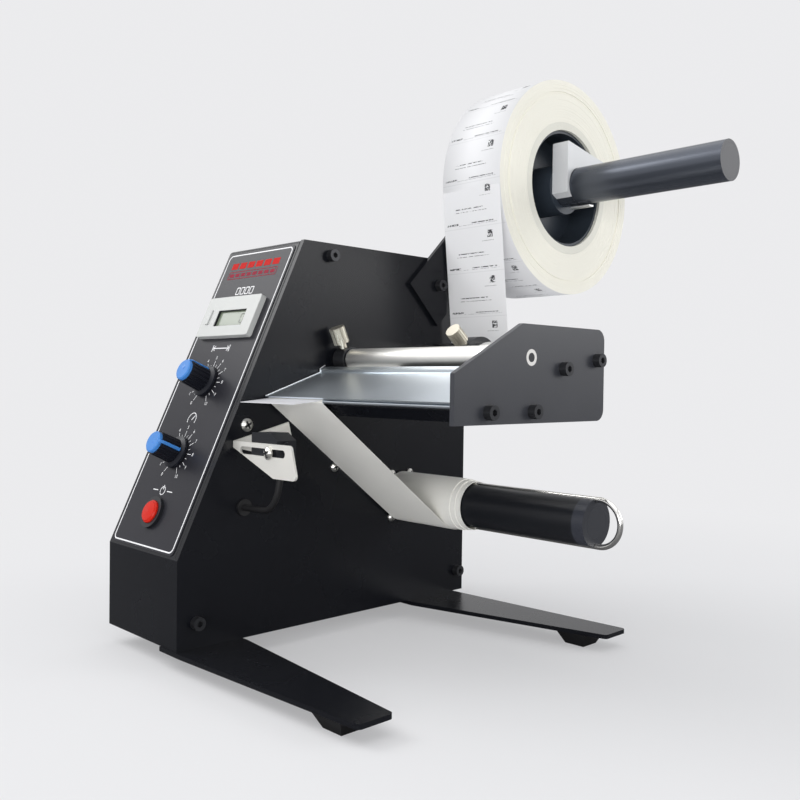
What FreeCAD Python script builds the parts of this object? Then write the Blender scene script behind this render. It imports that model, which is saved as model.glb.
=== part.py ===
import FreeCAD, Part
import math
import os
import re
import Sketcher
from FreeCAD import Placement, Rotation, Vector

# Automatic label dispenser. Sizes are in millimetres. Positions count from the housing's
# front lower right corner: X outwards from the right side plate, Y to the rear, Z up.
sizes = {
    # housing
    "housing_width": 74.4,
    "housing_length": 216.6,
    "housing_height": 219.8,
    "front_height": 46.8,
    "slope_run": 79.4,
    "shell_wall": 1.5,
    "bend_radius": 4.0,
    "side_wall": 3.0,
    "post_radius": 3.5,
    "corner_front": 11.3,
    "corner_low": 13.4,
    "corner_rear": 6.0,
    "corner_high": 7.2,
    "corner_setback": 19.6,
    "vent_length": 60.0,
    "vent_height": 3.0,
    "vent_pitch": 9.0,
    "vent_low": 120.0,
    # socket screws and pan-head screws
    "socket_radius": 2.0,
    "socket_head": 3.5,
    "socket_head_height": 4.0,
    "socket_hex": 1.7,
    "screw_slack": 0.1,
    "pan_radius": 1.5,
    "pan_head": 2.75,
    "pan_head_height": 2.0,
    "large_pan_head": 3.6,
    # control panel
    "overlay_left": 72.4,
    "overlay_right": 5.6,
    "overlay_low": 1.5,
    "overlay_high": 187.6,
    "overlay_thickness": 0.4,
    "overlay_corner": 3.0,
    "panel_centre": 40.0,
    "counter_centre": 40.8,
    "counter_width": 53.4,
    "counter_low": 128.4,
    "counter_height": 25.9,
    "counter_proud": 3.8,
    "counter_depth": 22.0,
    "counter_case_width": 46.0,
    "counter_case_height": 22.2,
    "window_centre": 38.2,
    "window_width": 28.8,
    "window_low": 134.9,
    "window_height": 10.4,
    "reset_inset": 3.2,
    "reset_up": 141.0,
    "reset_width": 3.4,
    "reset_length": 9.4,
    "reset_slack": 0.15,
    "length_dial": 100.3,
    "speed_dial": 56.6,
    "pot_radius": 8.0,
    "pot_depth": 9.0,
    "pot_bush": 3.5,
    "pot_shaft": 3.0,
    "knob_radius": 6.8,
    "knob_skirt": 9.3,
    "knob_skirt_height": 2.6,
    "knob_height": 14.5,
    "knob_gap": 0.8,
    "knob_cap_height": 2.2,
    "knob_flute": 0.75,
    "power_height": 21.3,
    "power_bezel": 9.0,
    "power_bezel_proud": 2.0,
    "power_button_radius": 6.4,
    "power_button_proud": 4.2,
    "power_body_radius": 7.9,
    "power_depth": 24.0,
    # feet and their bars
    "bar_thickness": 2.4,
    "bar_inner": 16.0,
    "front_bar_lead": 0.8,
    "front_bar_root": 41.1,
    "front_bar_reach": 133.8,
    "front_bar_tip_front": 5.8,
    "front_bar_tip_rear": 25.8,
    "rear_bar_setback": 51.3,
    "rear_bar_root": 42.2,
    "rear_bar_reach": 129.0,
    "rear_bar_sweep": 28.6,
    "rear_bar_tip": 20.0,
    "foot_height": 7.6,
    "foot_top": 10.2,
    "foot_base": 6.2,
    "foot_inset": 21.2,
    "rear_foot_shift": 4.0,
    "left_foot": 58.0,
    "left_foot_front": 36.0,
    "left_foot_setback": 34.6,
    # label roll and what carries it
    "supply_behind": 41.8,
    "supply_above": 49.5,
    "arm_thickness": 2.7,
    "arm_width": 36.0,
    "arm_tail": 18.9,
    "arm_tip": 18.0,
    "arm_angle": 45.0,
    "arm_screw_setback": 29.0,
    "arm_screw_drop": 17.4,
    "axle_radius": 4.0,
    "axle_head": 6.5,
    "axle_head_height": 5.0,
    "running_slack": 0.06,
    "seat_slack": 0.05,
    "supply_tube_end": 164.2,
    "supply_radius": 12.0,
    "clamp_groove": 0.4,
    "tube_radius": 12.5,
    "tube_wall": 2.0,
    "tube_start": 3.1,
    "cap_length": 6.0,
    "bush_length": 12.0,
    "web_left": 4.2,
    "web_width": 47.5,
    "core_bore": 38.1,
    "core_wall": 5.0,
    "roll_radius": 69.9,
    "hub_radius": 16.6,
    "hub_web": 3.0,
    "hub_rim": 2.0,
    "hub_depth": 21.0,
    "clamp_thickness": 12.0,
    "clamp_lap": 2.0,
    # take-up reel
    "takeup_y": 157.5,
    "takeup_z": 68.4,
    "takeup_tube_start": 1.6,
    "takeup_tube_end": 145.2,
    "takeup_hub": 12.0,
    "wound_layer": 0.45,
    "wound_end": 56.0,
    "wound_step": 3.7,
    "clip_wire": 1.5,
    "clip_set": 12.1,
    "clip_slack": 0.15,
    "clip_depth": 128.0,
    "motor_radius": 18.5,
    "gearbox_length": 22.0,
    "motor_length": 30.0,
    "motor_can": 17.0,
    "motor_boss": 6.0,
    "motor_circle": 15.5,
    "output_shaft": 3.0,
    # cantilever plate, rods and guides
    "outer_face": 141.6,
    "outer_wall": 2.6,
    "outer_front": 52.1,
    "outer_low": 120.7,
    "outer_nose": 143.8,
    "outer_top_start": 99.4,
    "outer_high": 168.0,
    "outer_rear": 167.5,
    "outer_corner": 6.0,
    "roller_y": 106.1,
    "roller_z": 152.1,
    "roller_radius": 6.3,
    "roller_start": 13.0,
    "roller_gap": 0.4,
    "rear_bar_y": 160.4,
    "rear_bar_z": 152.0,
    "rear_bar_radius": 11.4,
    "spacer_y": 131.5,
    "spacer_z": 147.1,
    "spacer_radius": 5.0,
    "beam_screw_front": 74.9,
    "beam_screw_rear": 107.2,
    "beam_screw_z": 126.3,
    "beam_front": 59.2,
    "beam_chamfer": 7.0,
    "beam_rear": 113.0,
    "beam_low": 121.6,
    "beam_high": 131.0,
    "left_collar_start": 3.0,
    "left_collar_width": 9.0,
    "left_collar_radius": 7.5,
    "guide_width": 8.0,
    "guide_radius": 14.5,
    "guide_gap": 3.9,
    "thumb_shank": 1.6,
    "thumb_neck": 2.3,
    "thumb_neck_height": 3.2,
    "thumb_head": 4.5,
    "thumb_head_height": 9.6,
    "thumb_notch": 0.35,
    "left_thumb_lean": 25.0,
    "right_thumb_lean": 50.0,
    # stripping plate
    "plate_front_y": 52.7,
    "plate_front_z": 131.0,
    "plate_rear_y": 91.0,
    "plate_rear_z": 144.6,
    "plate_wall": 0.8,
    "plate_start": 0.6,
    "plate_lip_step": 1.5,
    "plate_lip_run": 3.8,
    "plate_lip_rise": 1.7,
    "web_gap": 0.8,
    "nose_wall": 1.0,
    "nose_hem": 5.0,
    "shim_start": 58.0,
    "web_thickness": 0.3,
    "strip_left": 2.2,
    "strip_width": 46.5,
    "strip_thickness": 0.2,
    "label_reach": 17.0,
    "label_drop": 1.8,
    "label_thickness": 0.25,
    # photo sensor and its bracket
    "bracket_wall": 1.2,
    "bracket_start": 0.3,
    "bracket_y": 32.7,
    "bracket_length": 37.0,
    "bracket_tilt": 14.5,
    "bracket_top": 107.2,
    "bracket_low": 90.0,
    "bracket_reach": 51.0,
    "slot_start": 9.0,
    "slot_end": 44.2,
    "slot_z": 102.8,
    "slot_half": 2.0,
    "sensor_x": 32.6,
    "sensor_left": 17.0,
    "sensor_right": 5.4,
    "sensor_length": 12.0,
    "sensor_low": 97.8,
    "sensor_high": 112.4,
    "cable_radius": 1.7,
    "cable_z": 71.0,
    "grommet_radius": 4.5,
    "bracket_screw_y": 41.3,
    "bracket_screw_z": 115.4,
    "board_screw_y": 103.1,
    "board_screw_z": 89.1,
    # mains inlet
    "inlet_x": 37.0,
    "inlet_z": 34.0,
    "inlet_width": 48.0,
    "inlet_height": 22.5,
    "inlet_wall": 2.0,
    "inlet_case_width": 27.0,
    "inlet_case_height": 19.5,
    "inlet_depth": 16.0,
    "inlet_case_wall": 1.2,
    "blade_length": 13.0,
    # control board
    "board_length": 70.0,
    "board_height": 60.0,
    "board_thickness": 1.6,
    "board_stand": 8.0,
}

doc = FreeCAD.newDocument("label_dispenser")
sheet = doc.addObject("Spreadsheet::Sheet", "Sizes")
for row, (alias, number) in enumerate(sizes.items(), start=1):
    sheet.set(f"A{row}", alias)
    sheet.set(f"B{row}", str(number))
    sheet.setAlias(f"B{row}", alias)
doc.recompute()
size = {alias: float(sheet.get(alias)) for alias in sizes}

# Places that follow from the driving sizes, as expressions
supply_y = "(housing_length + supply_behind)"
supply_z = "(housing_height + supply_above)"
arm_screw_y = "(housing_length - arm_screw_setback)"
arm_screw_z = "(housing_height - arm_screw_drop)"
rear_bar_start = "(housing_length - rear_bar_setback)"
rear_tip_front = f"({rear_bar_start} + rear_bar_sweep)"
rear_tip_rear = f"({rear_tip_front} + rear_bar_tip)"
reset_centre = "(counter_centre + counter_case_width / 2 - reset_inset)"
rise = "(housing_height - front_height)"
slope_length = f"sqrt(slope_run^2 + {rise}^2)"
slope_up_y = f"(slope_run / {slope_length})"
slope_up_z = f"({rise} / {slope_length})"
slope_angle = f"atan2({rise}; slope_run)"
plate_angle = "atan2(plate_rear_z - plate_front_z; plate_rear_y - plate_front_y)"
plate_tan = "((plate_rear_z - plate_front_z) / (plate_rear_y - plate_front_y))"
plate_cos = f"cos({plate_angle})"
plate_length = "sqrt((plate_rear_y - plate_front_y)^2 + (plate_rear_z - plate_front_z)^2)"
roll_right = "(web_left + web_width)"
core_radius = "(core_bore + core_wall)"
inner_face = "(outer_face - outer_wall)"
arm_along = (f"(({supply_y} - {arm_screw_y}) * cos(arm_angle)"
             f" + ({supply_z} - {arm_screw_z}) * sin(arm_angle))")
arm_across = (f"(({supply_z} - {arm_screw_z}) * cos(arm_angle)"
              f" - ({supply_y} - {arm_screw_y}) * sin(arm_angle))")
corner_places = [
    ("corner_front", "corner_low"),
    ("housing_length - corner_rear", "corner_low"),
    ("slope_run + corner_setback", "housing_height - corner_high"),
    ("housing_length - corner_rear", "housing_height - corner_high"),
]
motor_places = [(f"takeup_y + motor_circle * cos({angle})",
                 f"takeup_z + motor_circle * sin({angle})") for angle in (60, 120, 240, 300)]
rod_places = [
    ("spacer_y", "spacer_z"),
    ("rear_bar_y", "rear_bar_z"),
    ("beam_screw_front", "beam_screw_z"),
    ("beam_screw_rear", "beam_screw_z"),
]

# The part's origin is the middle of its footprint, on the surface that the feet stand on
shift_x = "(housing_width + pan_head_height - supply_tube_end) / 2"
shift_y = f"(front_bar_lead - {supply_y} - roll_radius) / 2"
shift_z = "bar_thickness + foot_height"


def with_sheet(text):
    """Names every size of the sheet in an expression."""
    return re.sub(r"[a-z]+(?:_[a-z]+)+", lambda m: "Sizes." + m[0] if m[0] in size else m[0], text)


def bind(obj, prop, text):
    obj.setExpression(prop, with_sheet(str(text)))


def place(obj, x, y, z, axis=(0, 0, 1), angle=None):
    """Puts an object at x, y, z of the housing's frame, turned about axis."""
    if angle is not None:
        obj.Placement = Placement(Vector(), Rotation(Vector(*axis), 30))
        bind(obj, "Placement.Rotation.Angle", angle)
    bind(obj, "Placement.Base.x", f"({x}) + {shift_x}")
    bind(obj, "Placement.Base.y", f"({y}) + {shift_y}")
    bind(obj, "Placement.Base.z", f"({z}) + {shift_z}")
    return obj


def on_slope(obj, x, up, out=0):
    """Puts an object on the sloping panel, its Z along the panel's normal."""
    y = f"({up}) * {slope_up_y} - ({out}) * {slope_up_z}"
    z = f"front_height + ({up}) * {slope_up_z} + ({out}) * {slope_up_y}"
    return place(obj, x, y, z, (1, 0, 0), slope_angle)


def on_plate(obj, x, along, out=0):
    """Puts an object on the stripping plate's top, its Z along the plate's normal."""
    y = f"plate_front_y + ({along}) * {plate_cos} - ({out}) * sin({plate_angle})"
    z = f"plate_front_z + ({along}) * sin({plate_angle}) + ({out}) * {plate_cos}"
    return place(obj, x, y, z, (1, 0, 0), plate_angle)


def block(name, length, width, height):
    box = doc.addObject("Part::Box", name)
    for prop, text in (("Length", length), ("Width", width), ("Height", height)):
        bind(box, prop, text)
    return box


def block_at(name, x, y, z, length, width, height):
    return place(block(name, length, width, height), x, y, z)


def rod(name, radius, length):
    cylinder = doc.addObject("Part::Cylinder", name)
    bind(cylinder, "Radius", radius)
    bind(cylinder, "Height", length)
    return cylinder


def rod_x(name, x, y, z, radius, length):
    """A cylinder along +X."""
    return place(rod(name, radius, length), x, y, z, (0, 1, 0), 90)


def join(name, pieces):
    fuse = doc.addObject("Part::MultiFuse", name)
    fuse.Shapes = pieces
    return fuse


def group(name, pieces):
    """Separate solids that share one node."""
    compound = doc.addObject("Part::Compound", name)
    compound.Links = pieces
    return compound


def cut(name, base, tools):
    result = doc.addObject("Part::Cut", name)
    result.Base = base
    result.Tool = tools[0] if len(tools) == 1 else join(name + "_tools", tools)
    return result


def origin_plane(body, role):
    return next(f for f in body.Origin.OriginFeatures if f.Role == role)


def start_sketch(body, name, role):
    sketch = body.newObject("Sketcher::SketchObject", name)
    sketch.AttachmentSupport = [(origin_plane(body, role), "")]
    sketch.MapMode = "FlatFace"
    return sketch


def hold(sketch, kind, *where):
    """Adds a constraint whose value the last item of where gives as an expression."""
    index = sketch.addConstraint(Sketcher.Constraint(kind, *where[:-1], 1.0))
    bind(sketch, f"Constraints[{index}]", where[-1])


def draw_outline(sketch, points):
    """Draws a closed outline through points, each held to the sheet from the origin."""
    count = len(points)
    first = sketch.GeometryCount
    around = [Vector(9 * math.cos(2 * math.pi * i / count), 9 * math.sin(2 * math.pi * i / count), 0)
              for i in range(count)]
    for i in range(count):
        sketch.addGeometry(Part.LineSegment(around[i], around[(i + 1) % count]), False)
    for i in range(count):
        ahead = first + (i + 1) % count
        sketch.addConstraint(Sketcher.Constraint("Coincident", first + i, 2, ahead, 1))
    for i, (across, up) in enumerate(points):
        hold(sketch, "DistanceX", -1, 1, first + i, 1, across)
        hold(sketch, "DistanceY", -1, 1, first + i, 1, up)


def draw_circle(sketch, across, up, radius):
    index = sketch.GeometryCount
    sketch.addGeometry(Part.Circle(Vector(index + 1, 0, 0), Vector(0, 0, 1), 1), False)
    hold(sketch, "DistanceX", -1, 1, index, 3, across)
    hold(sketch, "DistanceY", -1, 1, index, 3, up)
    hold(sketch, "Radius", index, radius)


def plate(name, role, points, thickness, holes=()):
    """A flat piece: an outline with round holes, padded by its thickness."""
    body = doc.addObject("PartDesign::Body", name)
    sketch = start_sketch(body, name + "_outline", role)
    draw_outline(sketch, points)
    for across, up, radius in holes:
        draw_circle(sketch, across, up, radius)
    pad = body.newObject("PartDesign::Pad", name + "_pad")
    pad.Profile = sketch
    bind(pad, "Length", thickness)
    return body


def round_edges(body, radius, wanted):
    """Rounds the straight edges of a body whose middle point passes the test."""
    doc.recompute()
    base = body.Tip
    names = []
    for i, edge in enumerate(base.Shape.Edges, start=1):
        straight = edge.Curve.TypeId == "Part::GeomLine"
        if straight and wanted(edge, edge.CenterOfMass):
            names.append(f"Edge{i}")
    fillet = body.newObject("PartDesign::Fillet", body.Name + "_fillet")
    fillet.Base = (base, names)
    bind(fillet, "Radius", radius)
    return fillet


def along_axis(edge, axis):
    return abs(edge.tangentAt(edge.FirstParameter).dot(Vector(*axis))) > 0.999


def turned(name, profile):
    """A body turned about its Z axis from a profile of radius and height pairs."""
    body = doc.addObject("PartDesign::Body", name)
    sketch = start_sketch(body, name + "_profile", "XZ_Plane")
    draw_outline(sketch, profile)
    revolution = body.newObject("PartDesign::Revolution", name + "_turning")
    revolution.Profile = sketch
    revolution.ReferenceAxis = (sketch, ["V_Axis"])
    revolution.Angle = 360
    return body


def notch_round(body, radius, across, count, start, depth):
    """Cuts a notch of the given radius and repeats it round the body's Z axis."""
    sketch = start_sketch(body, body.Name + "_notch", "XY_Plane")
    bind(sketch, "AttachmentOffset.Base.z", start)
    draw_circle(sketch, across, "0", radius)
    pocket = body.newObject("PartDesign::Pocket", body.Name + "_pocket")
    pocket.Profile = sketch
    pocket.Reversed = True
    bind(pocket, "Length", depth)
    pattern = body.newObject("PartDesign::PolarPattern", body.Name + "_notches")
    pattern.Originals = [pocket]
    pattern.Axis = (sketch, ["N_Axis"])
    pattern.Angle = 360
    pattern.Occurrences = count
    body.Tip = pattern
    return body


def socket_screw(name, x, y, z, shank, outwards=1):
    """A socket screw along X whose head's seat is at x. Its shank runs inwards."""
    turn = 90 if outwards > 0 else -90
    head = place(rod(name + "_head", "socket_head", "socket_head_height"), x, y, z, (0, 1, 0), turn)
    body = place(rod(name + "_shank", "socket_radius", shank), x, y, z, (0, 1, 0), -turn)
    hexagon = doc.addObject("Part::Prism", name + "_hex")
    hexagon.Polygon = 6
    bind(hexagon, "Circumradius", "socket_hex")
    bind(hexagon, "Height", "socket_head_height")
    depth = f"{x} + {outwards} * socket_head_height / 2"
    place(hexagon, depth, y, z, (0, 1, 0), turn)
    return cut(name, join(name + "_solid", [head, body]), [hexagon])


def pan_screw(name, x, y, z, shank, outwards=1, radius="pan_head"):
    """A pan-head screw along X whose head's seat is at x. Its shank runs inwards."""
    turn = 90 if outwards > 0 else -90
    head = turned(name + "_head", [
        ("0", "0"), (radius, "0"), (radius, "pan_head_height * 0.45"),
        (f"{radius} * 0.55", "pan_head_height"), ("0", "pan_head_height")])
    place(head, x, y, z, (0, 1, 0), turn)
    body = place(rod(name + "_shank", "pan_radius", shank), x, y, z, (0, 1, 0), -turn)
    return join(name, [head, body])


# Housing: a folded shell between a thick right plate and a left cover
outline = [
    ("0", "0"), ("0", "front_height"), ("slope_run", "housing_height"),
    ("housing_length", "housing_height"), ("housing_length", "0"),
]
side_holes = [(y, z, "socket_radius + screw_slack") for y, z in corner_places + rod_places]
side_holes += [(y, z, "pan_radius + screw_slack") for y, z in motor_places]
side_holes += [
    ("takeup_y", "takeup_z", "motor_boss + screw_slack"),
    ("roller_y", "roller_z", "axle_radius + screw_slack"),
    (arm_screw_y, arm_screw_z, "socket_radius + screw_slack"),
    ("bracket_screw_y", "bracket_screw_z", "pan_radius + screw_slack"),
    ("board_screw_y", "board_screw_z", "pan_radius + screw_slack"),
    ("bracket_y + bracket_wall + sensor_length / 2", "cable_z", "grommet_radius - 1"),
]
side_plate = plate("side_plate", "YZ_Plane", outline, "side_wall", side_holes)
place(side_plate, "-side_wall", "0", "0")

left_holes = [(y, z, "pan_radius + screw_slack") for y, z in corner_places]
left_body = plate("left_cover_sheet", "YZ_Plane", outline, "shell_wall", left_holes)
round_edges(left_body, "bend_radius",
            lambda edge, at: along_axis(edge, (1, 0, 0)) and at.z > size["housing_height"] - 1)
place(left_body, "-housing_width", "0", "0")
vents = []
for i in range(5):
    vents.append(block_at(f"vent_{i}", "-housing_width - 1", "housing_length - vent_length - 45",
                          f"vent_low + {i} * vent_pitch", "shell_wall + 2", "vent_length",
                          "vent_height"))
left_cover = cut("left_cover", left_body, vents)

front_shift = f"shell_wall * ({slope_up_z} - 1) / {slope_up_y}"
top_shift = (f"((housing_height - shell_wall - front_height) * {slope_up_y} + shell_wall)"
             f" / {slope_up_z}")
shell_sheet = plate("shell_sheet", "YZ_Plane", [
    ("0", "0"), ("0", "front_height"), ("slope_run", "housing_height"),
    ("housing_length", "housing_height"), ("housing_length", "0"),
    ("housing_length - shell_wall", "0"),
    ("housing_length - shell_wall", "housing_height - shell_wall"),
    (top_shift, "housing_height - shell_wall"),
    ("shell_wall", f"front_height + {front_shift}"), ("shell_wall", "0"),
], "housing_width - shell_wall - side_wall")
top_inside = size["housing_height"] - size["shell_wall"]
round_edges(shell_sheet, "bend_radius",
            lambda edge, at: along_axis(edge, (1, 0, 0)) and at.z > top_inside + 1)
round_edges(shell_sheet, "bend_radius - shell_wall",
            lambda edge, at: along_axis(edge, (1, 0, 0)) and abs(at.z - top_inside) < 0.1)
place(shell_sheet, "shell_wall - housing_width", "0", "0")
through = "4 * shell_wall"
shell_cuts = [
    on_slope(block("counter_hole", "counter_case_width + 2 * screw_slack",
                   "counter_case_height + 2 * screw_slack", through),
             "-counter_centre - counter_case_width / 2 - screw_slack",
             "counter_low + (counter_height - counter_case_height) / 2 - screw_slack",
             "-2 * shell_wall"),
    on_slope(rod("power_hole", "power_body_radius + screw_slack", through), "-panel_centre",
             "power_height", "-2 * shell_wall"),
    block_at("inlet_hole", "-inlet_x - inlet_case_width / 2 - screw_slack",
             "housing_length - 2 * shell_wall",
             "inlet_z - inlet_case_height / 2 - screw_slack",
             "inlet_case_width + 2 * screw_slack", through,
             "inlet_case_height + 2 * screw_slack"),
]
for dial in ("length", "speed"):
    shell_cuts.append(on_slope(rod(f"{dial}_hole", "pot_bush + screw_slack", through),
                               "-panel_centre", f"{dial}_dial", "-2 * shell_wall"))
main_shell = cut("main_shell", shell_sheet, shell_cuts)

bottom_plate = block_at("bottom_plate", "shell_wall - housing_width", "shell_wall", "0",
                        "housing_width - shell_wall - side_wall",
                        "housing_length - 2 * shell_wall", "shell_wall")

posts = []
for i, (y, z) in enumerate(corner_places):
    posts.append(rod_x(f"post_{i}", "shell_wall - housing_width", y, z, "post_radius",
                       "housing_width - shell_wall - side_wall"))
post_bores = []
for i, (y, z) in enumerate(corner_places):
    post_bores.append(rod_x(f"post_bore_{i}", "-side_wall - 14", y, z,
                            "socket_radius + screw_slack", "14"))
    post_bores.append(rod_x(f"post_left_bore_{i}", "shell_wall - housing_width", y, z,
                            "pan_radius + screw_slack", "10"))
corner_posts = cut("corner_posts", group("posts", posts), post_bores)

seats = ["0", "0", "0", "arm_thickness"]
side_screws = group("side_screws", [
    socket_screw(f"side_screw_{i}", seat, y, z, f"{seat} + side_wall + 11")
    for i, ((y, z), seat) in enumerate(zip(corner_places, seats))
] + [socket_screw("arm_screw", "arm_thickness", arm_screw_y, arm_screw_z,
                  "arm_thickness + side_wall + 4")])
cover_screws = group("cover_screws", [
    pan_screw(f"cover_screw_{i}", "-housing_width", y, z, "shell_wall + 8", -1)
    for i, (y, z) in enumerate(corner_places)])

# Control panel
panel_holes = []
for name, x, up, radius in (("length", "-panel_centre", "length_dial", "pot_bush"),
                            ("speed", "-panel_centre", "speed_dial", "pot_bush"),
                            ("power", "-panel_centre", "power_height", "power_body_radius")):
    panel_holes.append((f"overlay_left + ({x})", f"{up} - overlay_low", f"{radius} + screw_slack"))
overlay_sheet = plate("overlay_sheet", "XY_Plane", [
    ("0", "0"), ("overlay_left - overlay_right", "0"),
    ("overlay_left - overlay_right", "overlay_high - overlay_low"),
    ("0", "overlay_high - overlay_low")], "overlay_thickness", panel_holes)
round_edges(overlay_sheet, "overlay_corner", lambda edge, at: along_axis(edge, (0, 0, 1)))
on_slope(overlay_sheet, "-overlay_left", "overlay_low")
overlay_cut = on_slope(block("overlay_cut", "counter_case_width + 2 * screw_slack",
                             "counter_case_height + 2 * screw_slack", "2"),
                       "-counter_centre - counter_case_width / 2 - screw_slack",
                       "counter_low + (counter_height - counter_case_height) / 2 - screw_slack",
                       "-1")
panel_overlay = cut("panel_overlay", overlay_sheet, [overlay_cut])

bezel_body = plate("bezel_block", "XY_Plane", [
    ("0", "0"), ("counter_width", "0"), ("counter_width", "counter_height"),
    ("0", "counter_height")], "counter_proud - overlay_thickness")
round_edges(bezel_body, "1.6", lambda edge, at: along_axis(edge, (0, 0, 1)))
on_slope(bezel_body, "-counter_centre - counter_width / 2", "counter_low", "overlay_thickness")
bezel_window = on_slope(block("bezel_window", "window_width", "window_height", "counter_proud + 1"),
                        "-window_centre - window_width / 2", "window_low", "0.1")
bezel_button = on_slope(block("bezel_button", "reset_width + 2 * reset_slack",
                              "reset_length + 2 * reset_slack", "2 * counter_proud"),
                        f"-{reset_centre} - reset_width / 2 - reset_slack",
                        "reset_up - reset_length / 2 - reset_slack", "-counter_proud")
counter_bezel = cut("counter_bezel", bezel_body, [bezel_window, bezel_button])
counter_case = on_slope(block("counter_case", "counter_case_width", "counter_case_height",
                              "counter_depth"),
                        "-counter_centre - counter_case_width / 2",
                        "counter_low + (counter_height - counter_case_height) / 2",
                        "overlay_thickness - counter_depth")
case_well = on_slope(block("case_well", "reset_width + 2 * reset_slack",
                           "reset_length + 2 * reset_slack", "4.1"),
                     f"-{reset_centre} - reset_width / 2 - reset_slack",
                     "reset_up - reset_length / 2 - reset_slack", "overlay_thickness - 4")
counter_body = cut("counter_body", counter_case, [case_well])
counter_window = on_slope(block("counter_window", "window_width - 0.1", "window_height - 0.1",
                                "1.8"),
                          "-window_centre - window_width / 2 + 0.05", "window_low + 0.05",
                          "overlay_thickness")
counter_reset = plate("counter_reset", "XY_Plane", [
    ("-reset_width / 2", "-reset_length / 2"), ("reset_width / 2", "-reset_length / 2"),
    ("reset_width / 2", "reset_length / 2"), ("-reset_width / 2", "reset_length / 2")],
    "counter_proud + 1.4")
round_edges(counter_reset, "1.2", lambda edge, at: along_axis(edge, (0, 0, 1)))
on_slope(counter_reset, f"-{reset_centre}", "reset_up", "overlay_thickness - 1")

pots = []
for dial in ("length", "speed"):
    up = f"{dial}_dial"
    can = on_slope(rod(f"{dial}_can", "pot_radius", "pot_depth"), "-panel_centre", up,
                   "-shell_wall - pot_depth")
    bush = on_slope(rod(f"{dial}_bush", "pot_bush", "shell_wall + overlay_thickness + 2.4"),
                    "-panel_centre", up, "-shell_wall")
    nut = on_slope(rod(f"{dial}_nut", "pot_bush + 1.6", "1.6"), "-panel_centre", up,
                   "overlay_thickness")
    bore = on_slope(rod(f"{dial}_bore", "pot_shaft + running_slack", "16"), "-panel_centre", up,
                    "-shell_wall - 5")
    pots.append(cut(f"{dial}_pot", join(f"{dial}_pot_solid", [can, bush, nut]), [bore]))
    grip = turned(f"{dial}_grip", [
        ("pot_bush + 2", "0"), ("knob_skirt", "0"), ("knob_skirt", "knob_skirt_height * 0.6"),
        ("knob_radius + 0.3", "knob_skirt_height"), ("knob_radius", "knob_height"),
        ("0", "knob_height"), ("0", "3.4"), ("pot_bush + 2", "3.4")])
    notch_round(grip, "knob_flute", "knob_radius + 0.35", 18, "knob_skirt_height", "knob_height")
    on_slope(grip, "-panel_centre", up, "overlay_thickness + knob_gap")
    cap = turned(f"{dial}_knob_cap", [
        ("0", "0"), ("knob_radius - 0.7", "0"), ("knob_radius - 0.7", "knob_cap_height - 0.6"),
        ("knob_radius - 1.4", "knob_cap_height"), ("0", "knob_cap_height")])
    on_slope(cap, "-panel_centre", up, "overlay_thickness + knob_gap + knob_height")
    spindle = on_slope(rod(f"{dial}_spindle", "pot_shaft",
                           "overlay_thickness + knob_gap + 3.4 + 4"), "-panel_centre", up, "-4")
    knob = join(f"{dial}_knob", [grip, spindle])
potentiometers = group("potentiometers", pots)

bezel_ring = on_slope(rod("power_ring", "power_bezel", "power_bezel_proud"), "-panel_centre",
                      "power_height", "overlay_thickness")
switch_barrel = on_slope(rod("switch_barrel", "power_body_radius",
                             "power_depth + overlay_thickness"), "-panel_centre",
                         "power_height", "-power_depth")
switch_well = on_slope(rod("switch_well", "power_button_radius + 0.2", "14"), "-panel_centre",
                       "power_height", "power_bezel_proud - 12")
power_switch = cut("power_switch", join("switch_solid", [bezel_ring, switch_barrel]),
                   [switch_well])
power_button = turned("power_button", [
    ("0", "0"), ("power_button_radius", "0"), ("power_button_radius", "power_button_proud + 4"),
    ("power_button_radius - 1", "power_button_proud + 5"), ("0", "power_button_proud + 5.4")])
on_slope(power_button, "-panel_centre", "power_height", "-5")

# Bars and rubber feet
front_bar = plate("front_foot_bar", "XY_Plane", [
    ("-bar_inner", "-front_bar_lead"), ("4", "-front_bar_lead"),
    ("front_bar_reach", "front_bar_tip_front"), ("front_bar_reach", "front_bar_tip_rear"),
    ("4", "front_bar_root - front_bar_lead"), ("-bar_inner", "front_bar_root - front_bar_lead"),
], "bar_thickness")
place(front_bar, "0", "0", "-bar_thickness")
rear_bar = plate("rear_foot_bar", "XY_Plane", [
    ("-bar_inner", rear_bar_start), ("4", rear_bar_start),
    ("rear_bar_reach", rear_tip_front), ("rear_bar_reach", rear_tip_rear),
    ("4", f"{rear_bar_start} + rear_bar_root"), ("-bar_inner", f"{rear_bar_start} + rear_bar_root"),
], "bar_thickness")
place(rear_bar, "0", "0", "-bar_thickness")
for bar in (front_bar, rear_bar):
    round_edges(bar, "2.5", lambda edge, at: along_axis(edge, (0, 0, 1)) and at.x > size["bar_inner"])
foot_places = [
    ("front_bar_reach - foot_inset", "(front_bar_tip_front + front_bar_tip_rear) / 2"),
    ("rear_bar_reach - foot_inset", f"({rear_tip_front} + {rear_tip_rear}) / 2 - rear_foot_shift"),
    ("-left_foot", "left_foot_front"),
    ("-left_foot", "housing_length - left_foot_setback"),
]


def rubber_foot(name, height):
    """A square foot that tapers downwards, with its wide end at the top."""
    foot = doc.addObject("Part::Wedge", name)
    for side, reach in (("min", "-"), ("max", "")):
        bind(foot, "X" + side, reach + "foot_base")
        bind(foot, "Z" + side, reach + "foot_base")
        bind(foot, "X2" + side, reach + "foot_top")
        bind(foot, "Z2" + side, reach + "foot_top")
    foot.Ymin = 0
    bind(foot, "Ymax", height)
    return foot


feet = []
for i, (x, y) in enumerate(foot_places):
    height = "foot_height + bar_thickness" if i > 1 else "foot_height"
    foot = rubber_foot(f"foot_{i}", height)
    feet.append(place(foot, x, y, "-bar_thickness - foot_height", (1, 0, 0), 90))
rubber_feet = group("rubber_feet", feet)

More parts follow.
